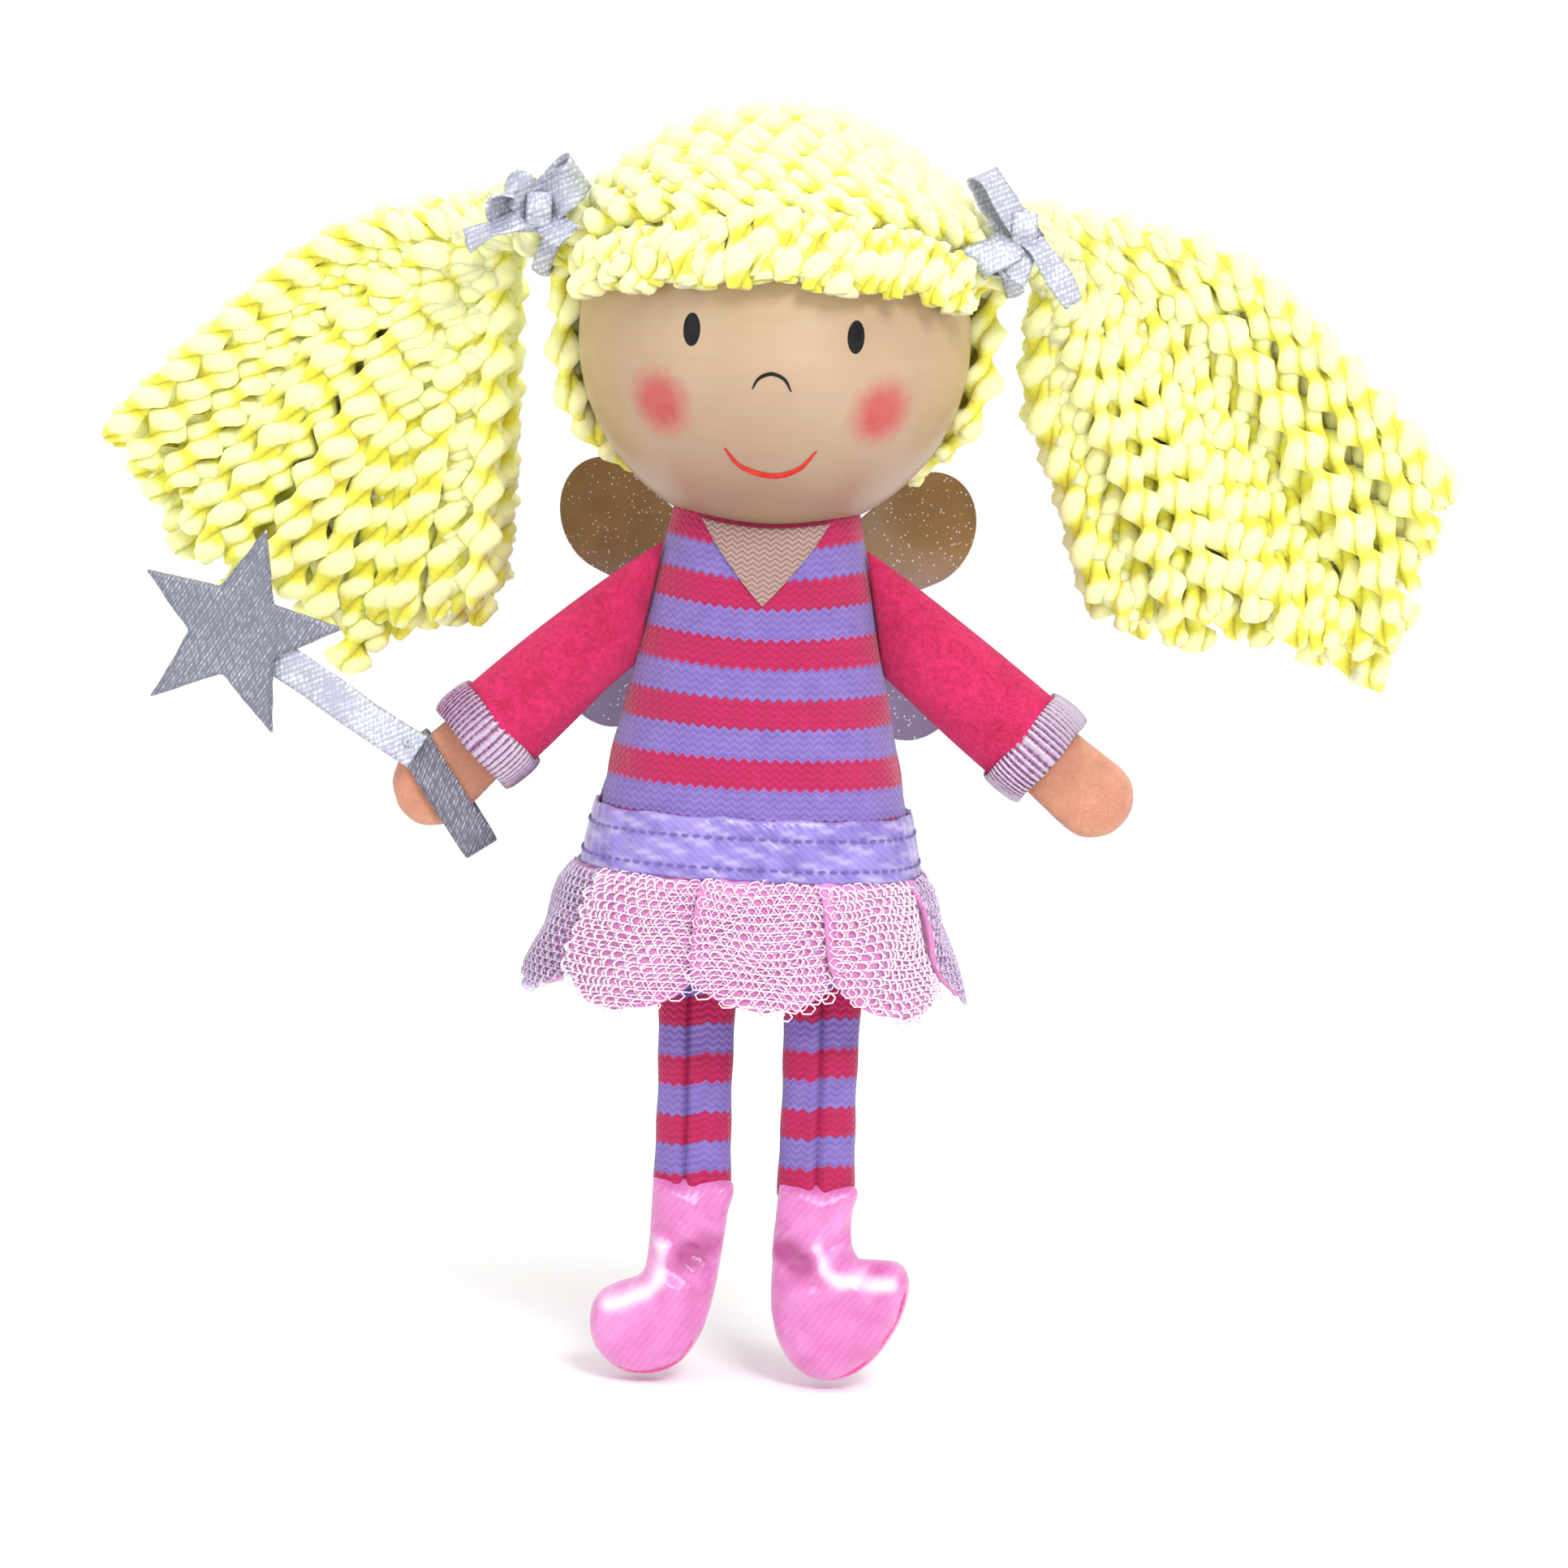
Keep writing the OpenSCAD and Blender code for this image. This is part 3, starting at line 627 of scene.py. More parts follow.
fringe = []
for row, (count, high, reach) in enumerate(((19, 34.0, 0.0), (16, 35.0, 0.8))):
    for i in range(count):
        x = -20.6 + 41.2 * i / (count - 1) + rng.uniform(-0.5, 0.5)
        low = 26.2 - 1.7 * (abs(x) / 20) ** 2 + rng.uniform(-0.5, 0.8) - 0.3 * row
        top = high - 3.4 * (abs(x) / 20) ** 2
        stops = []
        for z in np.linspace(top, low, 4):
            r = YARN_LIE + 0.1 + reach * 0.5
            y = -math.sqrt(max(r ** 2 - (z - HEAD_Z) ** 2 - x ** 2 * 0.98, 4))
            stops.append((x * 1.0 + rng.uniform(-0.2, 0.2), y - 0.2, z))
        fringe.append(strand(stops, rng, fat=rng.uniform(0.85, 1.0), start_thin=0.8, fray=0.55))
fringe_piece = yarn_piece("fringe_yarn", fringe)
dress(fringe_piece, yarn_finish, "head", "yarn", "hair_fringe")

# %% [markdown]
# ## The painted ball
# The head is a turned beech ball with a coat of skin-coloured paint. The brush leaves faint
# level streaks, and the two cheeks are dabbed with an almost dry brush, so their edges fade into
# speckles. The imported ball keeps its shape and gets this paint. The eyes, nose and mouth are
# thin lines of paint, so each is a thin raised shape that follows the ball.

# %% Skin paint with dabbed cheeks
skin, tree, shader = new_finish("satin acrylic paint on beech", Roughness=0.42,
                                Coat_Weight=0.25, Coat_Roughness=0.25)
place = here(tree)
streak_map = add_node(tree, "ShaderNodeMapping", inputs={
    "Vector": place, "Scale": (60.0, 60.0, 900.0)})
streak = add_node(tree, "ShaderNodeTexNoise", inputs={
    "Vector": streak_map.outputs["Vector"], "Scale": 1.0, "Detail": 4.0, "Roughness": 0.6})
paint = tones(tree, noise(tree, place, 70.0, 3.0), (0.3, "#b39476"), (0.75, "#c0a587"))
paint = blended(tree, 0.14, paint, streak.outputs["Color"], "MULTIPLY")
height = add_node(tree, "ShaderNodeSeparateXYZ", inputs={"Vector": place}).outputs["Z"]
# Painted shade: the paint darkens toward #876856 low on the ball, where less light falls.
painted_lower_shade = mapped(tree, height, 0.0, 0.019, 0.75, 0.0)
colour = blended(tree, painted_lower_shade, paint, linear("#876856"))
speck = noise(tree, place, 900.0, 5.0, Roughness=0.75)
CHEEK_Y = -math.sqrt(BALL_R ** 2 - 12.4 ** 2 - 7.7 ** 2)
for side, reach, strength in ((-1, 5.2, 0.95), (1, 5.2, 0.95), (-1, 2.7, 0.9), (1, 2.6, 0.85)):
    inner = reach < 4
    spot = Vector((side * (11.4 if inner else 12.4), CHEEK_Y, 12.5 if inner else 13.5)) * MM
    away = add_node(tree, "ShaderNodeVectorMath", {"operation": "DISTANCE"}, {0: place, 1: spot})
    ragged = maths(tree, "MULTIPLY_ADD", speck, 0.0042 if inner else 0.0022,
                   away.outputs["Value"])
    dab = mapped(tree, ragged, (reach + 1.2) * MM, (0.6 if inner else 2.4) * MM, 0.0, strength,
                 interpolation_type="SMOOTHSTEP")
    colour = blended(tree, dab, colour, linear("#a3141c" if inner else "#b5423f"))
finish_with(tree, shader, colour, streak.outputs["Fac"], 0.25, 0.0002)
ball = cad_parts["head_ball"]
for holder in ball.material_slots:
    holder.material = skin
print("painted:", ball.name)


# %% Painted eyes, nose and mouth
def on_ball(x, z, out=0.0):
    """The point of the ball's front at x and z, in mm, out mm proud of it."""
    z = z - HEAD_Z
    y = -np.sqrt(np.maximum(BALL_R ** 2 - x ** 2 - z ** 2, 0.01))
    grow = 1 + out / BALL_R
    return x * grow, y * grow, z * grow + HEAD_Z


def line_finish(name, colour, edge):
    """Glossy enamel laid on with a fine brush: its edge is a little thinner and paler."""
    finish, tree, shader = new_finish(name, Roughness=0.3, Specular_IOR_Level=0.25)
    tone = tones(tree, noise(tree, here(tree), 1200.0, 2.0), (0.35, colour), (0.8, edge))
    finish_with(tree, shader, tone)
    return finish


black_line = line_finish("black enamel paint", "#080707", "#171312")
red_line = line_finish("red enamel paint", "#c01f14", "#d8402e")


def painted_line(name, stops, width, finish):
    """A brush line through stops (x, z), thickest in the middle and pointed at its ends."""
    path = curve_points([(x, 0, z) for x, z in stops], 48)
    run = np.linspace(0, 1, len(path))
    ahead = np.gradient(path, axis=0)
    ahead /= np.linalg.norm(ahead, axis=1)[:, None]

    def place(u, v):
        half = 0.5 * width * (0.28 + 0.72 * np.sin(np.pi * u) ** 0.7)
        x = np.interp(u, run, path[:, 0]) - np.interp(u, run, ahead[:, 2]) * (v - 0.5) * 2 * half
        z = np.interp(u, run, path[:, 2]) + np.interp(u, run, ahead[:, 0]) * (v - 0.5) * 2 * half
        return on_ball(x, z, 0.05 + 0.08 * np.sin(np.pi * v))

    line = laid(name, 48, 4, place, lambda u, v: (u * 10, v * width))
    return dress(line, finish, "head", "painted_wood")


for label, side in (("right", -1), ("left", 1)):
    clean_start()
    bpy.ops.mesh.primitive_uv_sphere_add(segments=28, ring_count=14, radius=1 * MM)
    eye = bpy.context.object
    eye.name = f"{label}_eye"
    co = points_of(eye) / MM
    x, y, z = on_ball(side * 9.05 + co[:, 0] * 0.95, 21.8 + co[:, 2] * 1.85)
    deep = np.where(co[:, 1] < 0, 0.12, 0.02) * co[:, 1]
    move_points(eye, np.stack([x, y + deep, z], 1) * MM)
    smooth(eye)
    dress(eye, black_line, "head", "painted_wood")
painted_line("nose_line", [(-2.1, 15.6), (-1.4, 16.8), (0, 17.35), (1.4, 16.8), (2.2, 15.5)],
             0.42, black_line)
painted_line("mouth_line", [(-4.9, 8.9), (-3.0, 6.9), (0.5, 6.0), (3.4, 6.9), (5.3, 9.0)],
             0.62, red_line)

# %% [markdown]
# ## Striped webbing
# The sleeve and legs are woven elastic webbing. Its colour bands are 6.73 mm apart. The weave is
# a herringbone: rows 0.8 mm high that zigzag every 1.2 mm, which also gives each band a
# scalloped edge. The pattern is worked out from the flat lengths in the UV map.


# %% Webbing finish
def herringbone(tree, row, zigzag, steep):
    """Sockets: the zigzag height along the cloth in metres, and ridge height from 0 to 1."""
    cloth = add_node(tree, "ShaderNodeUVMap", {"uv_map": "flat"})
    split = add_node(tree, "ShaderNodeSeparateXYZ", inputs={"Vector": cloth.outputs["UV"]})
    swing = maths(tree, "PINGPONG", split.outputs["X"], zigzag / 2)
    height = maths(tree, "MULTIPLY_ADD", swing, steep, split.outputs["Y"])
    return height, maths(tree, "DIVIDE", maths(tree, "PINGPONG", height, row / 2), row / 2)


STRIPE_SHIFT = 0.07635     # metres, added to a height so that a pink band starts at 0
STRIPE_PITCH = 0.006733    # from one pink band to the next
PINK_WIDTH = 0.0033
webbing, tree, shader = new_finish("woven striped elastic webbing", Roughness=0.8,
                                   Sheen_Weight=0.2)
height, ridge = herringbone(tree, 0.0008, 0.0012, 0.8)
band = maths(tree, "FLOORED_MODULO", maths(tree, "ADD", height, STRIPE_SHIFT), STRIPE_PITCH)
is_pink = maths(tree, "LESS_THAN", band, PINK_WIDTH)
colour = blended(tree, is_pink, linear("#816bb7"), linear("#b50651"))
# Painted shade: the colour is darkened in the grooves between the weave's ridges.
groove_shade = mapped(tree, ridge, 0.0, 0.6, 0.34, 0.0)
colour = blended(tree, groove_shade, colour, linear("#5f426c"), "MULTIPLY")
wear = noise(tree, here(tree), 500.0, 3.0)
colour = blended(tree, 0.3, colour, wear, "SOFT_LIGHT")
finish_with(tree, shader, colour, ridge, 0.8, 0.00018)

beige, tree, shader = new_finish("beige cotton herringbone tape", Roughness=0.9,
                                 Sheen_Weight=0.2)
height, ridge = herringbone(tree, 0.00062, 0.0012, 0.8)
# Painted shade in the grooves between the herringbone's ridges, and lighter ridges.
tone = tones(tree, ridge, (0.0, "#7f615c"), (0.75, "#b4968d"))
finish_with(tree, shader, tone, ridge, 0.8, 0.00015)
print("band pitch", round(STRIPE_PITCH / MM, 2), "mm")

# %% [markdown]
# ## The sleeve
# Two panels of webbing are sewn together at the sides into a tapered oval tube. The top edge is
# glued under the ball, so it follows the ball's curve. The oval is a superellipse, a little
# squarer than an ellipse, because a finger and two legs fill it.

# %% Sleeve panels and neck insert
SLEEVE_TOP = -2.4
HEM_Z = -39.7
NECK_HALF = (11.6, 8.7)
HEM_HALF = (19.2, 15.5)
OVAL = 2.5
OVAL_T = np.radians(np.linspace(-90, 270, 721))


def oval_line(z, grow=0.0):
    """Points of the sleeve's outside at height z in mm, from the front's middle round by the
    puppet's left, and the running length."""
    f = (SLEEVE_TOP - z) / (SLEEVE_TOP - HEM_Z)
    half = [a + (b - a) * f + grow for a, b in zip(NECK_HALF, HEM_HALF)]
    c, s = np.cos(OVAL_T), np.sin(OVAL_T)
    x = half[0] * squarer(c, 2 / OVAL)
    y = half[1] * squarer(s, 2 / OVAL)
    run = np.r_[0, np.cumsum(np.hypot(np.diff(x), np.diff(y)))]
    return x, y, run


LEVELS = np.linspace(4.0, HEM_Z - 1, 90)
LEVEL_LINES = [oval_line(z) for z in LEVELS]


def on_sleeve(share, z, out=0.0):
    """The sleeve's point at a share of the way round (0 front, 0.25 left side) and height z."""
    share, z = np.broadcast_arrays(np.asarray(share, float), np.asarray(z, float))
    around = np.linspace(0, 1, 361)
    table = np.array([[np.interp(around, run / run[-1], k) for k in (x, y)]
                      for x, y, run in LEVEL_LINES])
    fz = np.clip((LEVELS[0] - z) / (LEVELS[0] - LEVELS[-1]), 0, 1) * (len(LEVELS) - 1)
    fa = (share % 1.0) * 360
    i, j = np.minimum(fz.astype(int), len(LEVELS) - 2), np.minimum(fa.astype(int), 359)
    a, b = fz - i, fa - j

    def level(k):
        low = table[i, k, j] * (1 - b) + table[i, k, j + 1] * b
        high = table[i + 1, k, j] * (1 - b) + table[i + 1, k, j + 1] * b
        return low * (1 - a) + high * a
    x, y = level(0), level(1)
    size = np.hypot(x, y)
    return x * (1 + out / size), y * (1 + out / size), z + 0 * x


def round_at(z):
    return np.interp(-z, -LEVELS, [line[2][-1] for line in LEVEL_LINES])


def neck_edge(share):
    """Height where the sleeve meets the ball, at a share of the way round."""
    x, y, _ = on_sleeve(share, -0.5)
    return HEAD_Z - np.sqrt(BALL_R ** 2 - x ** 2 - y ** 2) - 0.05


def panel_place(start):
    def place(u, v):
        share = start + 0.5 * u
        top = neck_edge(share)
        z = HEM_Z + (top - HEM_Z) * v
        ease = 0.16 * np.sin(z * 0.55 + share * 40) * np.sin(share * 23 + 1) * (1 - v) * 2
        pucker = -0.35 * np.exp(-((np.minimum(u, 1 - u) * 50) / 1.2) ** 2)
        return on_sleeve(share, z, ease + pucker)
    return place


def panel_flat(u, v):
    z = HEM_Z + (0.5 - HEM_Z) * v
    return (u - 0.5) * round_at(z) / 2, z


for label, start in (("front", -0.25), ("back", 0.25)):
    panel = laid(f"{label}_panel", 120, 80, panel_place(start), panel_flat, thick=0.9)
    dress(panel, webbing, ("head", "torso", (0, 0, 0.0005), (0, 0, -0.007)), "striped_webbing",
          f"sleeve_{label}")


def insert_place(u, v):
    half = 7.4 * v ** 0.95
    z = -9.0 + (9.0 - 0.2) * v
    x, _, _ = on_sleeve(0, z)
    share = (u - 0.5) * 2 * half / round_at(z)
    z = z + (neck_edge(share) - neck_edge(0.0)) * v
    return on_sleeve(share, z, 0.32)


insert = laid("neck_insert_tape", 24, 20, insert_place,
              lambda u, v: ((u - 0.5) * 14.8 * v, 9 * v), thick=0.4)
dress(insert, beige, ("head", "torso", (0, 0, 0.0005), (0, 0, -0.007)), "beige_webbing",
      "neck_insert")

# %% [markdown]
# ## Hem tape and stitches
# A 7 mm satin tape hides the raw edge of the webbing and holds the petals. Two rows of running
# stitch hold it, 1.3 mm a stitch. One stitch is a short capsule, and the rest are copies.


# %% Satin and thread finishes
def satin_finish(name, dark, light, crease_shade, twill, rough, turn):
    """Woven satin: long smooth floats of thread give streaky gloss along one direction. A number
    kept on each point of the piece paints shade into creases where it is above 0 and paints a
    highlight on crests where it is below 0."""
    finish, tree, shader = new_finish(name, Roughness=rough, Sheen_Weight=0.3, Anisotropic=0.6,
                                      Specular_IOR_Level=0.8)
    place = here(tree)
    turned = add_node(tree, "ShaderNodeMapping", inputs={
        "Vector": place, "Rotation": (0.0, turn, 0.0)})
    floats = add_node(tree, "ShaderNodeTexWave", {"bands_direction": "X"}, {
        "Vector": turned.outputs["Vector"], "Scale": twill, "Distortion": 1.2, "Detail": 2.0,
        "Detail Scale": 4.0}).outputs["Fac"]
    mixed = maths(tree, "MULTIPLY_ADD", floats, 0.10, noise(tree, place, 260.0, 3.0))
    painted_fold_light = add_node(tree, "ShaderNodeAttribute", {"attribute_name": "painted_fold_light"}).outputs["Fac"]
    colour = tones(tree, mixed, (0.35, dark), (0.8, light))
    # Painted shade in creases.
    colour = blended(tree, painted_fold_light, colour, linear(crease_shade))
    # Painted highlight on crests, toward #fff2fd.
    colour = blended(tree, maths(tree, "MULTIPLY", painted_fold_light, -1.0), colour, linear("#fff2fd"))
    finish_with(tree, shader, colour, floats, 0.2, 0.0001)
    return finish


def thread_finish(name, dark, light):
    """Spun sewing thread: matt, with a fine twist."""
    finish, tree, shader = new_finish(name, Roughness=0.7, Sheen_Weight=0.3)
    tone = tones(tree, noise(tree, here(tree), 4000.0, 1.0), (0.0, dark), (1.0, light))
    finish_with(tree, shader, tone)
    return finish


# The third colour of each satin is its painted shade for creases.
lilac_satin = satin_finish("lilac satin tape", "#6d5aad", "#9a89d3", "#6c5aa4", 520.0, 0.3, 0.9)
lilac_thread = thread_finish("lilac sewing thread", "#54458f", "#7464b4")
pink_thread = thread_finish("pink sewing thread", "#c8387c", "#e8669f")
grey_thread = thread_finish("silver grey sewing thread", "#9a9cac", "#c9cbd6")

# %% One stitch, and rows of copies
clean_start()
bpy.ops.mesh.primitive_uv_sphere_add(segments=8, ring_count=6, radius=0.5 * MM,
                                     rotation=(0, math.pi / 2, 0))
stitch = bpy.context.object
bpy.ops.object.transform_apply(rotation=True)
stitch_co = points_of(stitch) / MM * (0.95, 0.36, 0.36)
stitch_faces = [list(f.vertices) for f in stitch.data.polygons]
bpy.data.objects.remove(stitch)


def stitch_row(name, spots, finish, body, slot, *nodes):
    """Copies of the stitch at spots: (point, direction along, direction outward), in mm."""
    points, faces = [], []
    for at, ahead, out in spots:
        ahead, out = np.array(ahead) / np.linalg.norm(ahead), np.array(out)
        up = np.cross(ahead, out / np.linalg.norm(out))
        side = np.cross(up, ahead)
        faces += [[k + len(points) * len(stitch_co) for k in f] for f in stitch_faces]
        points.append(np.array(at) + stitch_co @ np.array([ahead, side, up]))
    row = built(name, np.vstack(points) * MM, faces)
    smooth(row)
    return dress(row, finish, body, slot, *nodes)


# %% Hem tape
TAPE_W = 7.0
TAPE_LEN = 112
STITCH_PITCH = 1.3
STITCH_ROWS = (-34.9, -38.3)     # heights in mm


def tape_place(u, v):
    share = 0.262 + 1.012 * u
    z = HEM_Z + TAPE_W * v + 0.12 * np.sin(u * 83) * v
    ripple = 0.12 * np.sin(u * 131 + 3 * v) * np.sin(u * 57) + 0.07 * np.sin(u * 301 + v * 5)
    pinch = -0.07 * (np.exp(-((v - 0.69) / 0.06) ** 2) + np.exp(-((v - 0.2) / 0.06) ** 2))
    edge = 0.25 * np.clip((u - 0.97) / 0.03, 0, 1) - 0.15 * np.clip((v - 0.9) / 0.1, 0, 1)
    return on_sleeve(share, z, 0.5 + ripple + pinch + edge)


tape = laid("hem_satin_tape", 260, 14, tape_place,
            lambda u, v: (u * TAPE_LEN, v * TAPE_W), thick=0.35)
co = points_of(tape) / MM
# Painted highlight: pale diagonal streaks on the satin tape, where its floats catch the light.
streak = np.sin(co[:, 0] * 1.1 + co[:, 2] * 3.4) * np.sin(co[:, 0] * 0.31 - co[:, 2] * 0.7 + 1)
mark(tape, "painted_fold_light", -np.clip((streak - 0.2) * 0.45, 0, 0.25))
dress(tape, lilac_satin, "torso", "satin_tape", "hem_tape")
around = float(round_at(HEM_Z + 3))
spots = []
for z in STITCH_ROWS:
    for share in np.arange(0, 1, STITCH_PITCH / around):
        at = np.array([float(k) for k in on_sleeve(share, z, 0.66)])
        ahead = np.array([float(k) for k in on_sleeve(share + 0.002, z, 0.66)]) - at
        spots.append((at, ahead, (at[0], at[1], 0)))
stitch_row("hem_stitches", spots, lilac_thread, "torso", "thread")

# %% [markdown]
# ## Skirt petals
# Each petal is a round-ended felt tab under a layer of hexagonal net, about 1.2 mm a cell. The
# net is real geometry: a flat sheet of hexagons is cut to the petal's outline and the Wireframe
# modifier turns its edges into threads. Both layers follow the same curved surface.


# %% Felt and net finishes
def felt_finish(name, dark, light):
    """Pressed felt: no weave, only matted fibres, so it is matt with a soft bloom."""
    finish, tree, shader = new_finish(name, Roughness=0.95, Sheen_Weight=0.4,
                                      Sheen_Roughness=0.6)
    place = here(tree)
    fibre = noise(tree, place, 2200.0, 5.0, Roughness=0.75, Distortion=1.0)
    mixed = maths(tree, "MULTIPLY_ADD", noise(tree, place, 320.0, 2.0), 0.6, fibre)
    tone = tones(tree, mixed, (0.55, dark), (1.0, light))
    finish_with(tree, shader, tone, fibre, 0.7, 0.0003)
    return finish


pink_felt = felt_finish("pale pink felt", "#d77cbe", "#e794d1")
net_finish = thread_finish("white nylon net", "#f2cfea", "#fff6fd")
silver_net = thread_finish("silver mauve net", "#a58fb4", "#f0e4f6")
shader = net_finish.node_tree.nodes["Principled BSDF"]
shader.inputs["Roughness"].default_value = 0.3

# %% One flat petal of net
PETAL_W, PETAL_L, NET_CELL = 13.3, 16.4, 1.2
clean_start()
bpy.ops.mesh.primitive_circle_add(vertices=6, radius=NET_CELL / math.sqrt(3) * MM,
                                  fill_type="NGON", rotation=(0, 0, math.pi / 6))
net = bpy.context.object
bpy.ops.object.transform_apply(rotation=True)
cell, cell_face = points_of(net) / MM, list(net.data.polygons[0].vertices)
bpy.data.objects.remove(net)
net_points, net_faces = [], []
for row in range(18):
    for col in range(-7, 8):
        mid = np.array(((col + 0.5 * (row % 2)) * NET_CELL,
                        1.7 + row * NET_CELL * math.sqrt(3) / 2, 0))
        half = PETAL_W / 2 - 0.1
        past = max(mid[1] - (PETAL_L - half), 0)
        if math.hypot(mid[0], past) < half:
            net_faces.append([k + 6 * len(net_points) for k in cell_face])
            net_points.append(cell + mid)
net_flat = np.vstack(net_points)
print("net cells in a petal:", len(net_faces))


# %% Nine petals round the hem
def petal_surface(middle, lift, seed):
    """Maps flat petal points (across, down from the seam), in mm, to their place."""
    flare = math.radians(15)
    rng = np.random.default_rng(seed)
    curl, wave, reach = rng.uniform(0.4, 1.3), rng.uniform(0, 6.3), rng.uniform(0.9, 0.97)

    def surface(across, down, out):
        share = middle + across / around
        x, y, z = on_sleeve(share, HEM_Z + 0.4, 0.2 + 0 * down)
        size = np.hypot(x, y)
        nx, ny = x / size, y / size
        shingle = lift - 0.75 * across / 6.6
        out = out - 0.55 * np.clip(1 - down / 2.4, 0, 1)
        push = shingle * np.clip(down / 4, 0, 1) + down * math.sin(flare)
        push = push + 0.004 * down ** 2 * curl - 0.04 * (across / 6.7) ** 2 * down * curl
        push = push + 0.28 * np.sin(down * 0.55 + across * 0.5 + wave) * np.clip(down / 8, 0, 1)
        return (x + nx * (push + out), y + ny * (push + out), HEM_Z + 1.0 - down * reach)
    return surface


def petal_flat(u, v):
    half = PETAL_W / 2
    down = PETAL_L * v ** 0.9
    past = np.clip((down - (PETAL_L - half)) / half, 0, 1)
    return (u - 0.5) * 2 * half * np.sqrt(np.clip(1 - past ** 2, 0.0004, 1)), down


for i in range(9):
    middle = (1.8 + i * around / 9) / around
    surface = petal_surface(middle, 0.75, 20 + i)
    petal = laid(f"petal_felt_{i + 1}", 26, 26,
                 lambda u, v: surface(*petal_flat(u, 1 - v), 0.0),
                 lambda u, v: petal_flat(u, 1 - v), thick=0.6)
    layers, at_side = [], abs(float(on_sleeve(middle, HEM_Z, 0)[0])) > 18
    for k, out in enumerate((0.22, 0.45)):
        pull = wobble(net_flat * MM, 1.6, 60 + i + 20 * k, 0.7) / MM + 0.35 * k
        layers.append(np.stack(surface(net_flat[:, 0] + pull[:, 0],
                                       net_flat[:, 1] + pull[:, 1], out), 1))
    doubled = net_faces + [[k + len(net_flat) for k in face] for face in net_faces]
    net = built(f"petal_net_{i + 1}", np.vstack(layers) * MM, doubled)
    merge_points(net)
    apply_modifier(net, "WIREFRAME", thickness=0.30 * MM, use_even_offset=False)
    dress(net, silver_net if at_side else net_finish, "torso", "felt_and_mesh")
    dress(petal, pink_felt, "torso", "felt_and_mesh", f"petal_{i + 1}")

# %% [markdown]
# ## Stuffed pieces
# A stuffed arm or boot is a sewn fabric bag that soft filling presses outward. The bag is made
# first, a little slim. Its skin is then rebuilt as even small faces, and a short cloth
# simulation with inner pressure rounds it. Cloth solvers work best at the size of a cushion, so
# the piece is made twenty times larger for it and then put back to its real size.

# %% Stuffing by simulation
BIGGER = 20


def stuff(piece, held_at, pressure=4.0, most=0.7, voxel=0.3):
    """Rebuilds the skin evenly and swells it, but never by more than most mm. held_at(points)
    gives the share, 0 to 1, by which a point is held in place, as where it is sewn on."""
    piece.data.transform(Matrix.Scale(BIGGER, 4))
    apply_modifier(piece, "REMESH", mode="VOXEL", voxel_size=voxel * BIGGER * MM)
    before = points_of(piece)
    held = np.clip(held_at(before / BIGGER / MM), 0, 1)
    group = piece.vertex_groups.new(name="held")
    for step in range(11):
        chosen = np.nonzero(np.round(held * 10) == step)[0].tolist()
        if chosen and step:
            group.add(chosen, step / 10, "REPLACE")
    cloth = piece.modifiers.new("stuffing", "CLOTH")
    cloth.settings.use_pressure = True
    cloth.settings.uniform_pressure_force = pressure
    cloth.settings.effector_weights.gravity = 0
    cloth.settings.vertex_group_mass = "held"
    cloth.settings.quality = 4
    for frame_number in range(1, 21):
        bpy.context.scene.frame_set(frame_number)
    swollen = piece.evaluated_get(bpy.context.evaluated_depsgraph_get())
    after = np.zeros(len(before) * 3)
    swollen.data.vertices.foreach_get("co", after)
    piece.modifiers.remove(cloth)
    bpy.context.scene.frame_set(1)
    move = after.reshape(-1, 3) - before
    far = np.linalg.norm(move, axis=1)[:, None]
    limit = most * BIGGER * MM
    move *= np.minimum(1, limit / np.maximum(far, 1e-9)) * (1 - held)[:, None]
    move_points(piece, before + move)
    print(piece.name, "swelled by", round(float(far.max()) / BIGGER / MM, 2), "mm at most")
    apply_modifier(piece, "SMOOTH", factor=0.5, iterations=4)
    piece.data.transform(Matrix.Scale(1 / BIGGER, 4))
    smooth(piece)
    return piece


def close_ends(piece):
    edited(piece, (bpy.ops.mesh.fill_holes, {"sides": 0}), FACE_OUT)


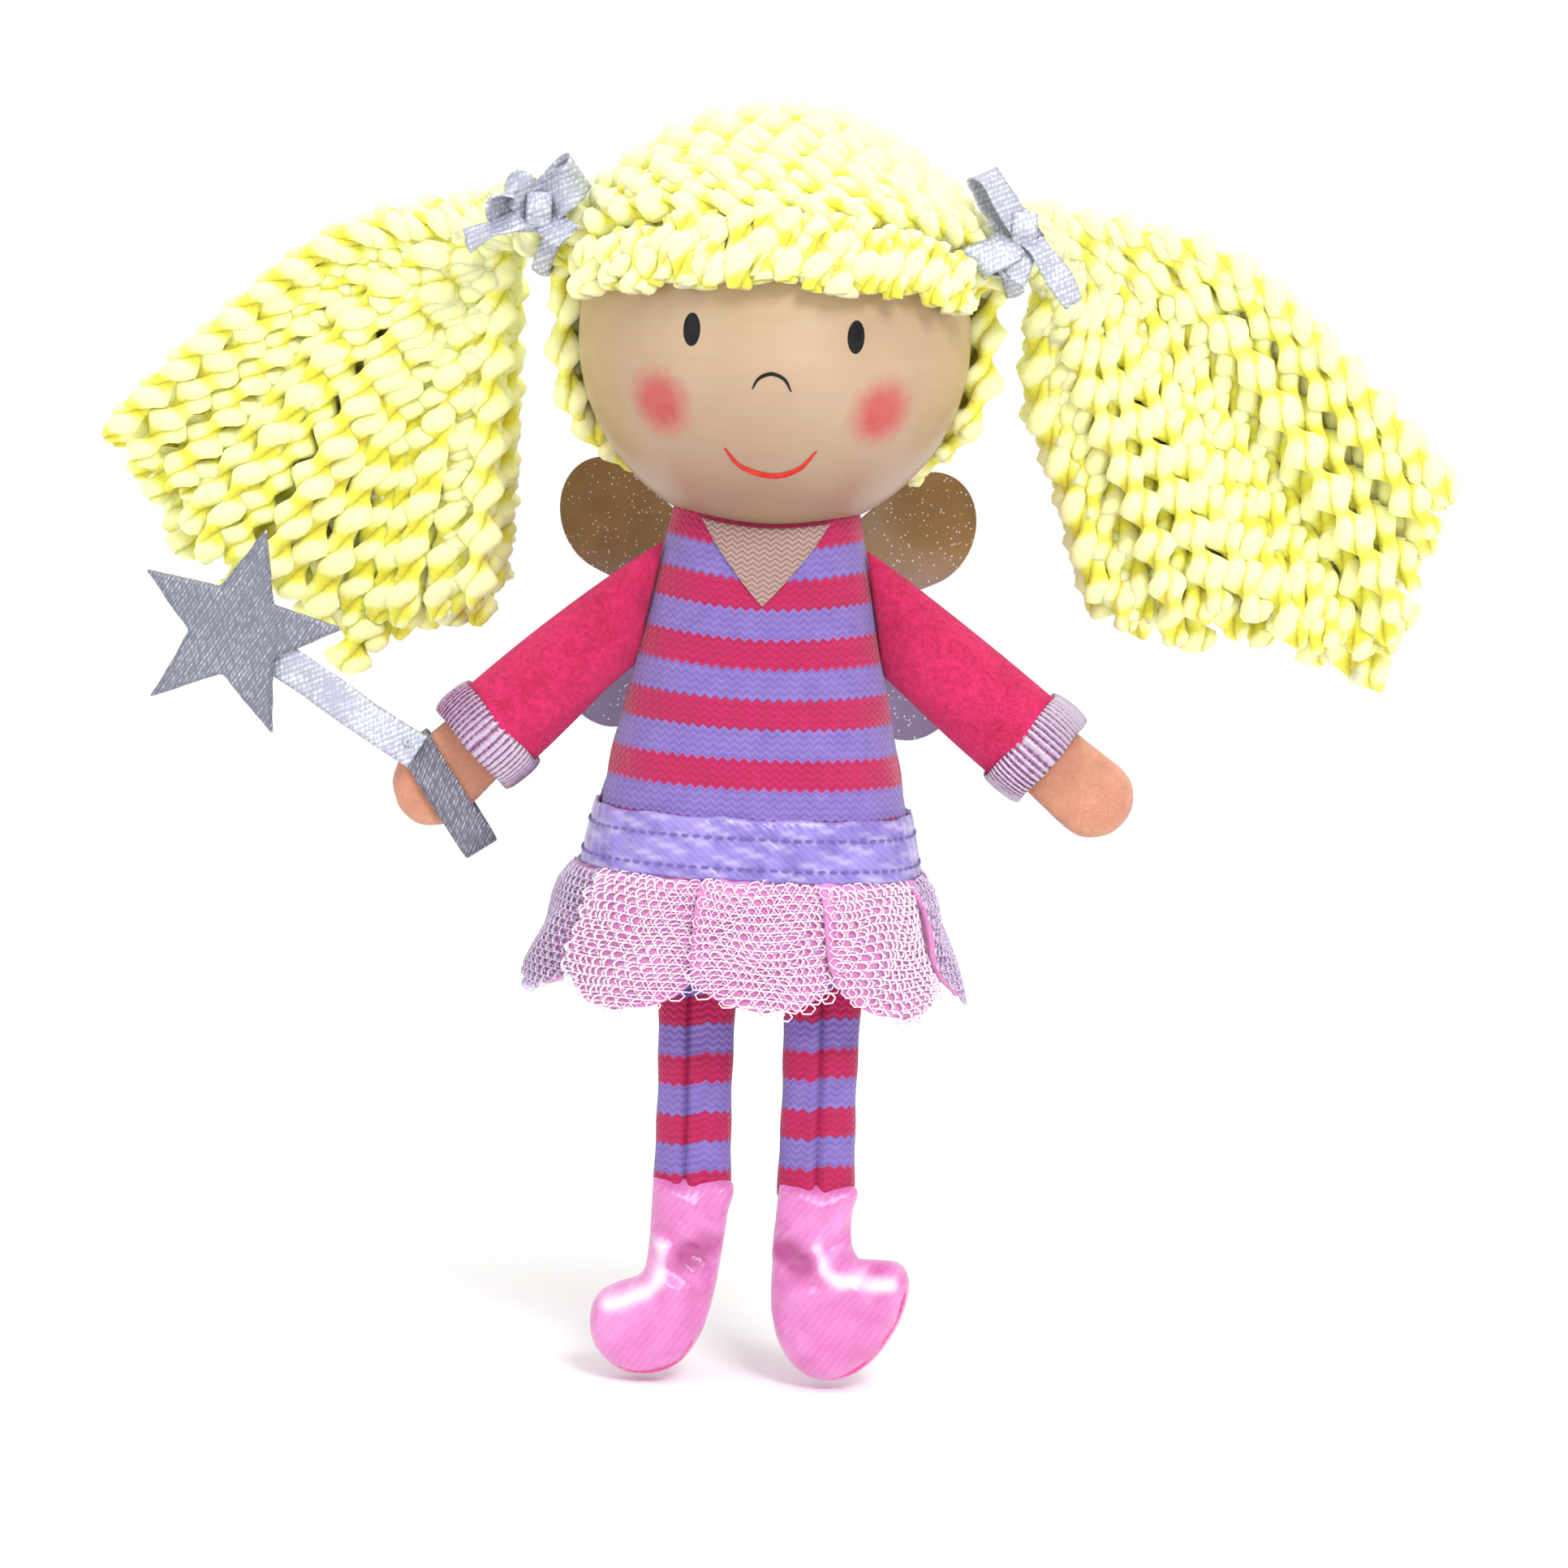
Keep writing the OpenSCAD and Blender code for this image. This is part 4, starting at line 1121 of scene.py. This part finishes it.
def sewn_form(name, outline, plane_y, half_thick, round_in, voxel=0.25, count=160):
    """Two flat layers cut to an outline (x, z) and sewn together round it. A filled circle is
    moved to the outline, extruded to a slab, and its skin is rebuilt as small even faces. The
    slab is then pressed thinner toward its edge, as a stuffed piece is."""
    edge = np.array(outline, float)
    edge = curve_points([(a, 0, b) for a, b in np.vstack([edge, edge[:1]])], count + 1)[:-1]
    clean_start()
    bpy.ops.mesh.primitive_circle_add(vertices=count, radius=1, fill_type="NGON")
    form = bpy.context.object
    form.name = name
    deepest = float(np.max(half_thick(edge[:, 0], edge[:, 2])))
    move_points(form, (edge - (0, deepest, 0)) * MM * BIGGER)
    slab = {"TRANSFORM_OT_translate": {"value": (0, 2 * deepest * MM * BIGGER, 0)}}
    edited(form, (bpy.ops.mesh.extrude_region_move, slab), FACE_OUT)
    apply_modifier(form, "REMESH", mode="VOXEL", voxel_size=voxel * BIGGER * MM)
    co = points_of(form) / MM / BIGGER
    a, b = edge[:, (0, 2)], np.roll(edge, -1, 0)[:, (0, 2)]
    near = np.full(len(co), 99.0)
    for p, q in zip(a, b):
        t = np.clip(((co[:, (0, 2)] - p) @ (q - p)) / ((q - p) @ (q - p)), 0, 1)[:, None]
        near = np.minimum(near, np.linalg.norm(co[:, (0, 2)] - p - (q - p) * t, axis=1))
    rise = np.sqrt(1 - (1 - np.clip(near / round_in + 0.02, 0, 1)) ** 2)
    co[:, 1] = co[:, 1] / deepest * rise * half_thick(co[:, 0], co[:, 2])
    move_points(form, co * MM)
    apply_modifier(form, "SMOOTH", factor=0.5, iterations=2)
    co = points_of(form)
    move_points(form, co + (0, plane_y * MM, 0))
    smooth(form)
    return form


# %% [markdown]
# ## Arms, cuffs and hands
# The arms are tubes of hot-pink fleece. At the shoulder the tube is pressed flat and sewn into
# the side seam of the sleeve, so its section changes from a flat line to a full oval. The cuffs
# are ribbed metallic knit, and the hands are two layers of peach felt.

# %% Fleece and ribbed cuff finishes
fleece, tree, shader = new_finish("brushed polyester fleece", Roughness=0.95, Sheen_Weight=0.5,
                                  Sheen_Roughness=0.45)
shader.inputs["Sheen Tint"].default_value = linear("#ff6fa5")
place = here(tree)
nap = noise(tree, place, 1500.0, 4.0, Roughness=0.75)
pile = maths(tree, "MULTIPLY_ADD", noise(tree, place, 240.0, 2.0), 0.5, nap)
tone = tones(tree, pile, (0.5, "#b0093e"), (0.98, "#ea2c70"))
finish_with(tree, shader, tone, pile, 1.0, 0.0007)

HALF_RIB = 0.00029     # metres
lurex_cuff, tree, shader = new_finish("ribbed metallic knit", Metallic=0.3, Roughness=0.45)
cloth = add_node(tree, "ShaderNodeUVMap", {"uv_map": "flat"}).outputs["UV"]
across = add_node(tree, "ShaderNodeSeparateXYZ", inputs={"Vector": cloth}).outputs["X"]
rib = maths(tree, "DIVIDE", maths(tree, "PINGPONG", across, HALF_RIB), HALF_RIB)
glint = add_node(tree, "ShaderNodeTexVoronoi", inputs={"Vector": cloth, "Scale": 3300.0})
lit = maths(tree, "MULTIPLY_ADD", glint.outputs["Distance"], 0.5, rib)
tone = tones(tree, lit, (0.25, "#6e2f56"), (0.5, "#906589"), (0.95, "#c2b3c6"))
finish_with(tree, shader, tone, lit, 0.7, 0.0002)
peach_felt = felt_finish("peach felt", "#b8785b", "#d39174")

# %% Arms with their cuffs and hands
ARM_Y = -3.0
SHOULDER = (17.66, -13.0)
ARM_LEN, CUFF_W, HAND_LEN = 18.3, 4.8, 11.0


def eased(t):
    return t * t * (3 - 2 * t)


for label, side, droop in (("left", 1, 38), ("right", -1, 44)):
    d = np.array((math.cos(math.radians(droop)), -math.sin(math.radians(droop))))
    up = np.array((-d[1], d[0]))
    wrist = np.array(SHOULDER) + d * ARM_LEN
    seam_mid, seam_half = np.array((12.9, -9.6)), np.array((-1.35, 7.3))
    elbow = np.array((19.8, -14.6))

    def section(v):
        t = np.asarray(v)[..., None]
        mid = (1 - t) ** 2 * seam_mid + 2 * (1 - t) * t * elbow + t ** 2 * (wrist + d * 1.2)
        half = seam_half * (1 - eased(t)) + up * 5.75 * eased(t)
        half = half * (1 + 0.05 * np.sin(t * 3.0) * (1 - t))
        return mid, half, 0.5 + 3.5 * np.clip(np.asarray(v) / 0.42, 0, 1) ** 0.6

    def arm_place(u, v):
        u = u if side > 0 else 1 - u
        mid, half, deep = section(v)
        c = squarer(np.cos(u * math.tau), 0.9)
        s = squarer(np.sin(u * math.tau), 0.9)
        p = mid + half * c[:, None]
        return side * p[:, 0], ARM_Y - deep * s, p[:, 1]

    arm = laid(f"{label}_arm_fleece", 64, 46, arm_place, lambda u, v: (u * 34, v * 26),
               closed=True)
    close_ends(arm)

    def arm_held(p):
        out = np.abs(p[:, 0])
        past_cuff = (out - wrist[0]) * d[0] + (p[:, 2] - wrist[1]) * d[1] + 3.5
        return 1 - np.clip((out - 14.5) / 3, 0, 1) + np.clip(past_cuff, 0, 1)

    stuff(arm, arm_held, most=0.6)
    dress(arm, fleece, ("torso", f"{label}_arm", (side * 13.4 * MM, 0, -0.010),
          (side * 21.0 * MM, 0, -0.0155)), "fleece", f"{label}_arm", f"{label}_arm_filling",
          f"{label}_shoulder_seam")

    def cuff_place(u, v):
        u = u if side > 0 else 1 - u
        a = u * math.tau
        c, s = squarer(np.cos(a), 0.8), squarer(np.sin(a), 0.9)
        knit = 0.10 * np.sin(a * 58) + 0.12 * np.sin(a * 3 + v * 2)
        grow = knit + 0.35 * np.sin(v * math.pi) ** 0.5 - 0.3
        run = (v - 0.5) * CUFF_W + 0.1 * np.sin(a * 5)
        x = wrist[0] + d[0] * run + up[0] * (6.45 + grow) * c
        z = wrist[1] + d[1] * run + up[1] * (6.45 + grow) * c
        return side * x, ARM_Y - (4.35 + grow) * s, z

    cuff = laid(f"{label}_cuff_knit", 300, 8, cuff_place, lambda u, v: (u * 34, v * CUFF_W),
                thick=0.5, closed=True)
    dress(cuff, lurex_cuff, f"{label}_arm", "lurex_cuff", f"{label}_cuff")

    outline = []
    start, stop, wide = CUFF_W / 2 - 2.0, CUFF_W / 2 + HAND_LEN, 4.75
    for a in np.linspace(-90, 90, 11):
        c, s = math.cos(math.radians(a)), math.sin(math.radians(a))
        outline.append(wrist + d * (stop - wide + wide * c) + up * wide * s)
    for back_at, half in ((stop - 8, 4.6), (start + 1, 4.35), (start, 4.2)):
        outline.append(wrist + d * back_at + up * half)
    outline += [wrist + d * start - up * 4.2, wrist + d * (start + 1) - up * 4.35,
                wrist + d * (stop - 8) - up * 4.6]
    outline = [(side * p[0], p[1]) for p in outline]
    hand = sewn_form(f"{label}_hand_felt", outline, ARM_Y, lambda x, z: 1.25 + 0 * x, 1.1)
    co = points_of(hand)
    move_points(hand, co + wobble(co, 2.5, 31, 0.35) + wobble(co, 0.5, 32, 0.1))
    dress(hand, peach_felt, f"{label}_arm", "hand_felt", f"{label}_hand")

# %% [markdown]
# ## Silver ribbon, bows and wand
# Metallic ribbon is a plain weave of shiny film thread, 4 mm wide. Its tiny random glints are
# partly reflection and partly painted into its colour as bright and dark floats. The star is cut
# from silver lame, whose diagonal twill shows as fine steps. The bows are strips laid along
# loops. Each strip is told which way its face looks.


# %% Metallic weaves
def lurex_finish(name, dark, mid, light, thread, slant, metal):
    """Woven metal film: small bright and dark floats that alternate along two directions. Their
    tones are painted glints and painted shade, laid out in the weave's pattern.
    """
    finish, tree, shader = new_finish(name, Metallic=metal, Roughness=0.38)
    place = here(tree)
    turned = add_node(tree, "ShaderNodeMapping", inputs={
        "Vector": place, "Rotation": (0.0, slant, 0.0),
        "Scale": (1 / thread, 1 / thread, 0.45 / thread)}).outputs["Vector"]
    floats = add_node(tree, "ShaderNodeTexVoronoi", inputs={
        "Vector": turned, "Scale": 1.0, "Randomness": 0.55}).outputs["Distance"]
    rows = add_node(tree, "ShaderNodeTexWave", {"bands_direction": "Z"}, {
        "Vector": turned, "Scale": 0.5, "Distortion": 0.8}).outputs["Fac"]
    mixed = maths(tree, "MULTIPLY_ADD", rows, 0.4, floats)
    mixed = maths(tree, "MULTIPLY_ADD", noise(tree, place, 180.0, 2.0), 0.5, mixed)
    tone = tones(tree, mixed, (0.3, light), (0.62, mid), (1.0, dark))
    finish_with(tree, shader, tone, mixed, 0.55, 0.0002)
    return finish


silver_lame = lurex_finish("silver lame twill", "#727482", "#9698a4", "#caccd2", 0.00042, 0.6, 0.3)
silver_ribbon = lurex_finish("silver metallic ribbon", "#a9acbc", "#ccd0da", "#f8f9fc", 0.00045,
                             0.2, 0.2)
# A darker copy of the silver ribbon, used on the hand strap.
strap_ribbon = lurex_finish("darker copy of metallic ribbon", "#656472", "#91909d", "#c4c4ce",
                            0.00045, 0.9, 0.35)


def ribbon(name, stops, faces, width=4.0, thick=0.22, cols=60, tips=0.0):
    """A strip along stops whose face looks along faces, one direction for each stop. tips is how
    far, in mm, each end is cut on the slant."""
    path = curve_points(stops, cols + 1)
    share = np.linspace(0, 1, cols + 1)
    given = np.linspace(0, 1, len(faces))
    look = np.stack([np.interp(share, given, np.array(faces, float)[:, k]) for k in range(3)], 1)
    ahead = np.gradient(path, axis=0)
    ahead /= np.linalg.norm(ahead, axis=1)[:, None]
    across = np.cross(look, ahead)
    across /= np.linalg.norm(across, axis=1)[:, None]
    length = float(np.linalg.norm(np.diff(path, axis=0), axis=1).sum())
    print(name, "ribbon", round(length, 1), "x", width, "mm")

    def place(u, v):
        slant = tips * (v - 0.5) * (np.abs(u - 0.5) > 0.47) / length
        at = np.clip(u + slant, 0, 1)
        p = [np.interp(at, share, path[:, k]) + np.interp(at, share, across[:, k])
             * (v - 0.5) * width for k in range(3)]
        return p[0], p[1] + 0.1 * np.sin(u * length * 1.3), p[2]
    return laid(name, cols, 8, place, lambda u, v: (u * length, v * width), thick=thick)


def joined(name, pieces):
    """Several strips made one piece."""
    only(pieces[0])
    for piece in pieces[1:]:
        piece.select_set(True)
    bpy.ops.object.join()
    pieces[0].name = name
    return pieces[0]


K = (-27.2, -5.6, 34.2)
right_bow = joined("right_bow_ribbon", [
    ribbon("a", [K, (-24.5, -8.2, 36.6), (-22.6, -8.6, 38.6), (-23.4, -6.6, 39.0),
                 (-25.6, -5.4, 36.6), K], [(0.3, -1, 0.3), (0.2, -1, 0.5), (0.9, -0.4, 0.6),
                                           (0, 1, 0.4), (0, 1, 0.2), (0, 1, 0)], 4.6),
    ribbon("b", [K, (-29.8, -7.6, 36.6), (-31.9, -7.6, 35.4), (-31.0, -5.8, 34.2),
                 (-28.8, -5.0, 34.0), K], [(0, -1, 0.2), (-0.3, -1, 0.4), (-1, -0.2, 0),
                                           (-0.3, 1, 0), (0, 1, 0), (0, 1, 0)], 4.4),
    ribbon("c", [K, (-30.0, -7.4, 33.0), (-33.0, -8.2, 31.8), (-35.4, -8.0, 30.4)],
           [(0, -1, 0.3), (0.1, -0.8, 0.8), (0, -0.5, 1), (0.1, -0.9, 0.6)], 3.2, tips=3),
    ribbon("d", [K, (-25.2, -8.0, 32.4), (-23.6, -9.2, 31.4)],
           [(0, -1, 0), (0, -1, 0.2), (0.1, -1, 0.2)], 3.6, tips=2)])
K = (27.6, -5.6, 34.6)
left_bow = joined("left_bow_ribbon", [
    ribbon("a", [K, (25.4, -7.6, 37.6), (23.6, -7.8, 40.2), (22.4, -6.4, 40.6),
                 (23.8, -5.0, 37.8), K], [(0.9, -0.8, 0.4), (0.8, -1, 0.5), (0.4, -0.6, 1),
                                          (-0.9, 0.4, 0.4), (-0.6, 1, -0.3), (0, 1, 0)], 4.2),
    ribbon("b", [K, (25.2, -8.4, 32.4), (22.6, -9.2, 31.0), (21.8, -8.0, 30.0),
                 (24.6, -6.8, 30.6), K], [(0, -1, 0.3), (0, -1, 0.6), (-0.7, -0.8, 0.1),
                                          (0, 0.3, -1), (0, 1, -0.4), (0, 1, 0)], 4.4),
    ribbon("c", [K, (29.8, -7.8, 32.2), (31.8, -8.2, 29.4), (33.8, -7.6, 26.6)],
           [(0.3, -1, 0.3), (0.7, -0.8, 0.3), (0.5, -1, 0.1), (0.8, -0.7, 0.3)], 3.4, tips=3),
    ribbon("d", [K, (27.2, -8.2, 31.8), (26.4, -9.0, 29.0)],
           [(0, -1, 0), (0.1, -1, 0.1), (0.1, -1, 0.1)], 3.4, tips=2)])
for label, side, bow, knot in (("right", -1, right_bow, (-27.2, -6.6, 34.4)),
                               ("left", 1, left_bow, (27.6, -6.6, 34.6))):
    dress(bow, silver_ribbon, "head", "silver_ribbon", f"{label}_bow")

    def knot_place(u, v):
        a = u * math.tau
        puff = 1 + 0.12 * np.sin(a * 5)
        x = knot[0] + (v - 0.5) * 2.9
        return (x, knot[1] - 1.35 * np.sin(a) * puff * (1 - 0.5 * (v - 0.5) ** 2),
                knot[2] + 1.9 * np.cos(a) * puff)

    wrap = laid(f"{label}_bow_knot", 40, 6, knot_place, lambda u, v: (u * 9, v * 3), thick=0.3,
                closed=True)
    dress(wrap, silver_ribbon, "head", "silver_ribbon")

    def tie_place(u, v):
        a = u * math.tau
        along_it = 26.5 + 2.2 * v
        r = 4.35 + 0.18 * np.sin(a * 11) + 0.25 * np.sin(v * math.pi)
        c, s = r * np.cos(a), r * np.sin(a)
        return (side * (math.cos(TIE_UP) * along_it - math.sin(TIE_UP) * c), -s * side,
                HEAD_Z + math.sin(TIE_UP) * along_it + math.cos(TIE_UP) * c)

    tie = laid(f"{label}_tie_ribbon", 66, 6, tie_place, lambda u, v: (u * 27, v * 2.2),
               thick=0.4, closed=True)
    dress(tie, silver_ribbon, "head", "silver_ribbon", f"{label}_tie")

# %% Star, wand ribbon and hand strap
STAR = np.array((-60.0, -14.9))
wand_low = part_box("wand_ribbon")[0]
WAND_Y = float(wand_low[1]) / MM
POINT_R, NOTCH_R, STAR_TURN = 12.5, 5.3, 14.6
star_edge = []
for k in range(10):
    r = POINT_R if k % 2 == 0 else NOTCH_R
    a = math.radians(STAR_TURN + 36 * k)
    tip = STAR + r * np.array((math.sin(a), math.cos(a)))
    star_edge.append(tip)
outline = []
for a, b in zip(star_edge, star_edge[1:] + star_edge[:1]):
    outline += [a + (b - a) * t for t in (0.02, 0.25, 0.5, 0.75, 0.98)]
star = sewn_form("lame_star", outline, WAND_Y + 0.3, lambda x, z: 0.62 + 0 * x, 0.8,
                 voxel=0.22, count=240)
co = points_of(star)
move_points(star, co + wobble(co, 4.0, 41, 0.25) + wobble(co, 0.45, 42, 0.10))
dress(star, silver_lame, "wand", "silver_lame", "wand_star")

knot_xz = np.array((-39.7, -27.2))
reach = STAR - knot_xz
wand_path = [(*(knot_xz + reach * f), 0) for f in (-0.05, 0.2, 0.5, 0.86)]
bow_out = (0, -0.5, 0.5, 1.2)
wand = ribbon("wand_ribbon_strip", [(p[0], WAND_Y + o, p[1]) for p, o in zip(wand_path, bow_out)],
              [(0.1, -1, 0.2), (0.25, -0.9, 0.35), (-0.1, -1, -0.2), (0, -1, 0)], 4.2)
dress(wand, silver_ribbon, "wand", "silver_ribbon", "wand_ribbon")

strap_ends = np.array(((-39.6, -26.4), (-31.0, -39.0)))
strap_dir = (strap_ends[1] - strap_ends[0]) / np.linalg.norm(strap_ends[1] - strap_ends[0])
strap_side = np.array((-strap_dir[1], strap_dir[0]))
strap_mid, strap_half = strap_ends.mean(0), np.linalg.norm(strap_ends[1] - strap_ends[0]) / 2


def strap_place(u, v):
    a = u * math.tau
    c, s = np.cos(a), np.sin(a)
    run = strap_half * squarer(c, 0.35)
    deep = 1.75 * squarer(s, 0.8)
    p = strap_mid + np.outer(run, strap_dir) + np.outer((v - 0.5) * 4.0, strap_side)
    return p[:, 0], ARM_Y + deep - 0.1, p[:, 1]


strap = laid("hand_strap_ribbon", 90, 6, strap_place, lambda u, v: (u * 30, v * 4), thick=0.25,
             closed=True)
dress(strap, strap_ribbon, "right_arm", "silver_ribbon", "hand_strap")
spots = [((knot_xz[0] + 0.5 * math.cos(a), WAND_Y - 0.3, knot_xz[1] + 0.5 * math.sin(a)),
          (math.cos(a), 0, math.sin(a)), (0, -1, 0)) for a in (0.4, 1.3, 2.4)]
stitch_row("wand_thread", spots, grey_thread, "right_arm", "thread", "wand_stitch")

# %% [markdown]
# ## Legs and boots
# The legs are strips of the same webbing, folded to flat tubes with a seam down the front. The
# boots are pink satin socks turned outward, sewn flat round their outline and then stuffed.

# %% Legs
HIP_Z, ANKLE_Z, LEG_Y = -38.7, -77.1, -9.4
leg_x = {"left": 8.8, "right": -5.6}
for label, seam_at, lean in (("right", -0.9, 0.7), ("left", 0.1, 0.5)):
    def leg_place(u, v):
        a = (u - 0.25) * math.tau
        z = ANKLE_Z - 0.5 + (HIP_Z - ANKLE_Z + 0.5) * v
        c, s = np.cos(a), np.sin(a)
        wide = 4.35 + 0.05 * np.sin(z * 0.9) + 0.1 * np.sin(z * 0.25 + 2)
        x = wide * squarer(c, 0.8)
        y = 2.45 * squarer(s, 0.75)
        pinch = 1.15 * np.exp(-((x - seam_at) / 0.24) ** 2) * (s < 0)
        roll = 0.3 * np.exp(-((np.abs(x - seam_at) - 1.0) / 0.6) ** 2) * (s < 0)
        top = np.clip((v - 0.93) / 0.07, 0, 1) + np.clip((0.03 - v) / 0.03, 0, 1)
        return (leg_x[label] + lean * (1 - v) + x * (1 - 0.1 * top),
                LEG_Y + (y + pinch - roll) * (1 - 0.35 * top), z)

    def leg_flat(u, v):
        up = ANKLE_Z + 38.4 * v + (0.5 if label == "right" else -0.7)
        return (u - 0.25) * 22.5, up - 0.5 * (u < 0.25 + seam_at * 0.045)

    leg = laid(f"{label}_leg_webbing", 112, 90, leg_place, leg_flat, closed=True)
    close_ends(leg)
    smooth(leg)
    dress(leg, webbing, f"{label}_leg", "striped_webbing", f"{label}_leg",
          f"{label}_leg_filling")

# %% Boots
# ad4488 is the painted shade in creases.
boot_satin = satin_finish("pink polyester satin", "#c962a6", "#de86c8", "#ad4488", 420.0, 0.33,
                          -0.6)
BOOTS = {
    "right": [(-9.4, -74.9), (-9.5, -79), (-9.7, -83), (-10.4, -86.2), (-13.0, -87.6),
              (-15.2, -89.2), (-15.9, -92), (-15.0, -95.2), (-12.2, -97.6), (-8.6, -98.0),
              (-5.4, -96.6), (-3.2, -93.5), (-2.0, -89.5), (-1.2, -84), (-0.7, -79),
              (-0.7, -74.9)],
    "left": [(5.1, -74.9), (4.8, -79), (4.5, -84), (4.7, -89), (5.6, -93.5), (8.0, -96.8),
             (11.4, -97.9), (14.8, -96.9), (17.6, -94.2), (19.8, -90.4), (20.7, -86.6),
             (19.7, -84.2), (17.0, -83.7), (14.6, -83.2), (13.6, -80.5), (13.6, -78),
             (13.5, -74.9)]}
SEAMS = {"right": (4, 11), "left": (6, 12)}
# Lines along the top of each foot, which are raised a little and given a painted highlight.
CRESTS = {"right": [(-13.9, -89.4), (-11.6, -88.6), (-9.3, -87.4), (-8.0, -85.2), (-8.1, -82.4)],
          "left": [(18.4, -85.6), (15.2, -85.3), (12.4, -85.2), (10.6, -84.2), (9.8, -82.0)]}
for label, side in (("right", -1), ("left", 1)):
    outline = np.array(BOOTS[label])

    def boot_thick(x, z):
        return 2.95 + 0.5 * np.clip((-79 - z) / 6, 0, 1)

    boot = sewn_form(f"{label}_boot_satin", outline, LEG_Y - 0.9, boot_thick, 3.4,
                     voxel=0.3)
    stuff(boot, lambda p: np.clip((p[:, 2] + 78.5) / 2, 0, 1), most=0.55)
    co = points_of(boot) / MM
    front = np.clip(-(co[:, 1] - LEG_Y) / 2, 0, 1)
    patch_x = -4.4 if side < 0 else 7.2
    dent = np.exp(-(((co[:, 0] - patch_x + (co[:, 2] + 83.2) * 0.5 * side) / 2.3) ** 2
                    + ((co[:, 2] + 83.2) / 1.9) ** 2))
    ankle = np.exp(-((co[:, 2] + 82.5) / 4.2) ** 2)
    run = co[:, 2] * 0.9 + co[:, 0] * 0.75 * -side
    folds = (np.abs(np.sin(run * 0.95 + 0.6)) - 0.5) * 0.7 * ankle
    ridge = -0.5 * np.exp(-(((co[:, 2] + 87.5 - (co[:, 0] - patch_x) * 0.16 * side)) / 1.1) ** 2)
    ease = 0.22 * np.sin(co[:, 0] * 0.8 + co[:, 2] * 0.6) * np.sin(co[:, 2] * 0.5 + 2)
    co[:, 1] += front * (folds + 1.0 * dent + ridge + ease)
    crest_line = curve_points([(a, 0, b) for a, b in CRESTS[label]], 40)[:, (0, 2)]
    off = np.linalg.norm(co[:, None, (0, 2)] - crest_line[None], axis=2).min(1)
    shine = np.exp(-(off / 0.85) ** 2)
    co[:, 1] -= front * 0.35 * shine
    move_points(boot, co * MM)
    # Painted shade in the dent and the ankle folds, and a painted highlight along the ridge lines
    # in CRESTS.
    depth = front * (np.clip(dent * 1.6 - 0.1, 0, 1) + 0.8 * np.clip(folds, 0, 1)
                     - 0.8 * shine)
    mark(boot, "painted_fold_light", np.clip(depth, -1, 1))
    smooth(boot)
    dress(boot, boot_satin, (f"{label}_leg", f"{label}_boot", (0, 0, -0.0770), (0, 0, -0.0805)),
          "boot_satin", f"{label}_boot", f"{label}_boot_filling")
    first, last = SEAMS[label]
    line = curve_points([(a, 0, b) for a, b in outline[first:last + 1]], 24)
    middle = outline.mean(0)
    spots = []
    for k in range(1, len(line) - 1):
        inward = np.array((middle[0] - line[k][0], 0, -90 - line[k][2]))
        inward /= np.linalg.norm(inward)
        at = line[k] + inward * 0.75
        spots.append(((at[0], LEG_Y - 0.9 - 2.05, at[2]), line[k + 1] - line[k - 1],
                      (-inward[0], -0.9, -inward[2])))
    stitch_row(f"{label}_boot_stitches", spots, pink_thread, f"{label}_boot", "thread")

# %% [markdown]
# ## Wings
# The wings are stiff clear film with a tint and glitter. The tint goes from purple low down to
# brown higher up, and this change is a painted reflection. Film is smooth, so the packed shape
# is kept, and the material does the work: it lets light through, shifts in colour with a
# thin-film coat and carries scattered flakes.

# %% Film and wing seam
film, tree, shader = new_finish("tinted glitter film", Roughness=0.22, Metallic=0.15, Alpha=0.86,
                                Thin_Film_Thickness=420.0, Coat_Weight=0.5, Coat_Roughness=0.1)
place = here(tree)
height = add_node(tree, "ShaderNodeSeparateXYZ", inputs={"Vector": place}).outputs["Z"]
# Painted reflection: the tint changes from purple low down to brown higher up.
fade = mapped(tree, height, -0.016, -0.004)
colour = blended(tree, fade, linear("#7a5684"), linear("#96683f"))
colour = blended(tree, 0.4, colour, noise(tree, place, 120.0, 3.0), "OVERLAY")
flake = add_node(tree, "ShaderNodeTexVoronoi", inputs={"Vector": place, "Scale": 1500.0})
spark = mapped(tree, flake.outputs["Distance"], 0.14, 0.2, 1.0, 0.0)
finish_with(tree, shader, blended(tree, spark, colour, linear("#e9def2")))
for label in ("left", "right"):
    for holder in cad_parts[f"{label}_wing"].material_slots:
        holder.material = film

seam_low, seam_high = [np.array(c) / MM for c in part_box("wing_seam")]
spots = []
for k in range(11):
    f = k / 10
    z = seam_high[2] - 0.6 - f * (seam_high[2] - seam_low[2] - 1.2)
    y = float(on_sleeve(0.5, z, 0.5)[1])
    spots.append(((0.5 * (-1) ** k, y + 0.9, z), (0.8 * (-1) ** k, 0.0, -1.0), (0, 1, 0)))
stitch_row("wing_stitches", spots, lilac_thread, "torso", "thread")


def strip_place(u, v):
    z = seam_low[2] + (seam_high[2] - seam_low[2]) * v
    x, y, z = on_sleeve(0.5 + (u - 0.5) * 0.024, z, 0.95)
    return x, y + 0.25 * np.sin(u * math.pi), z


strip = laid("wing_seam_tape", 10, 30, strip_place, lambda u, v: (u * 2.4, v * 14), thick=0.35)
dress(strip, lilac_satin, "torso", "thread", "wing_seam")
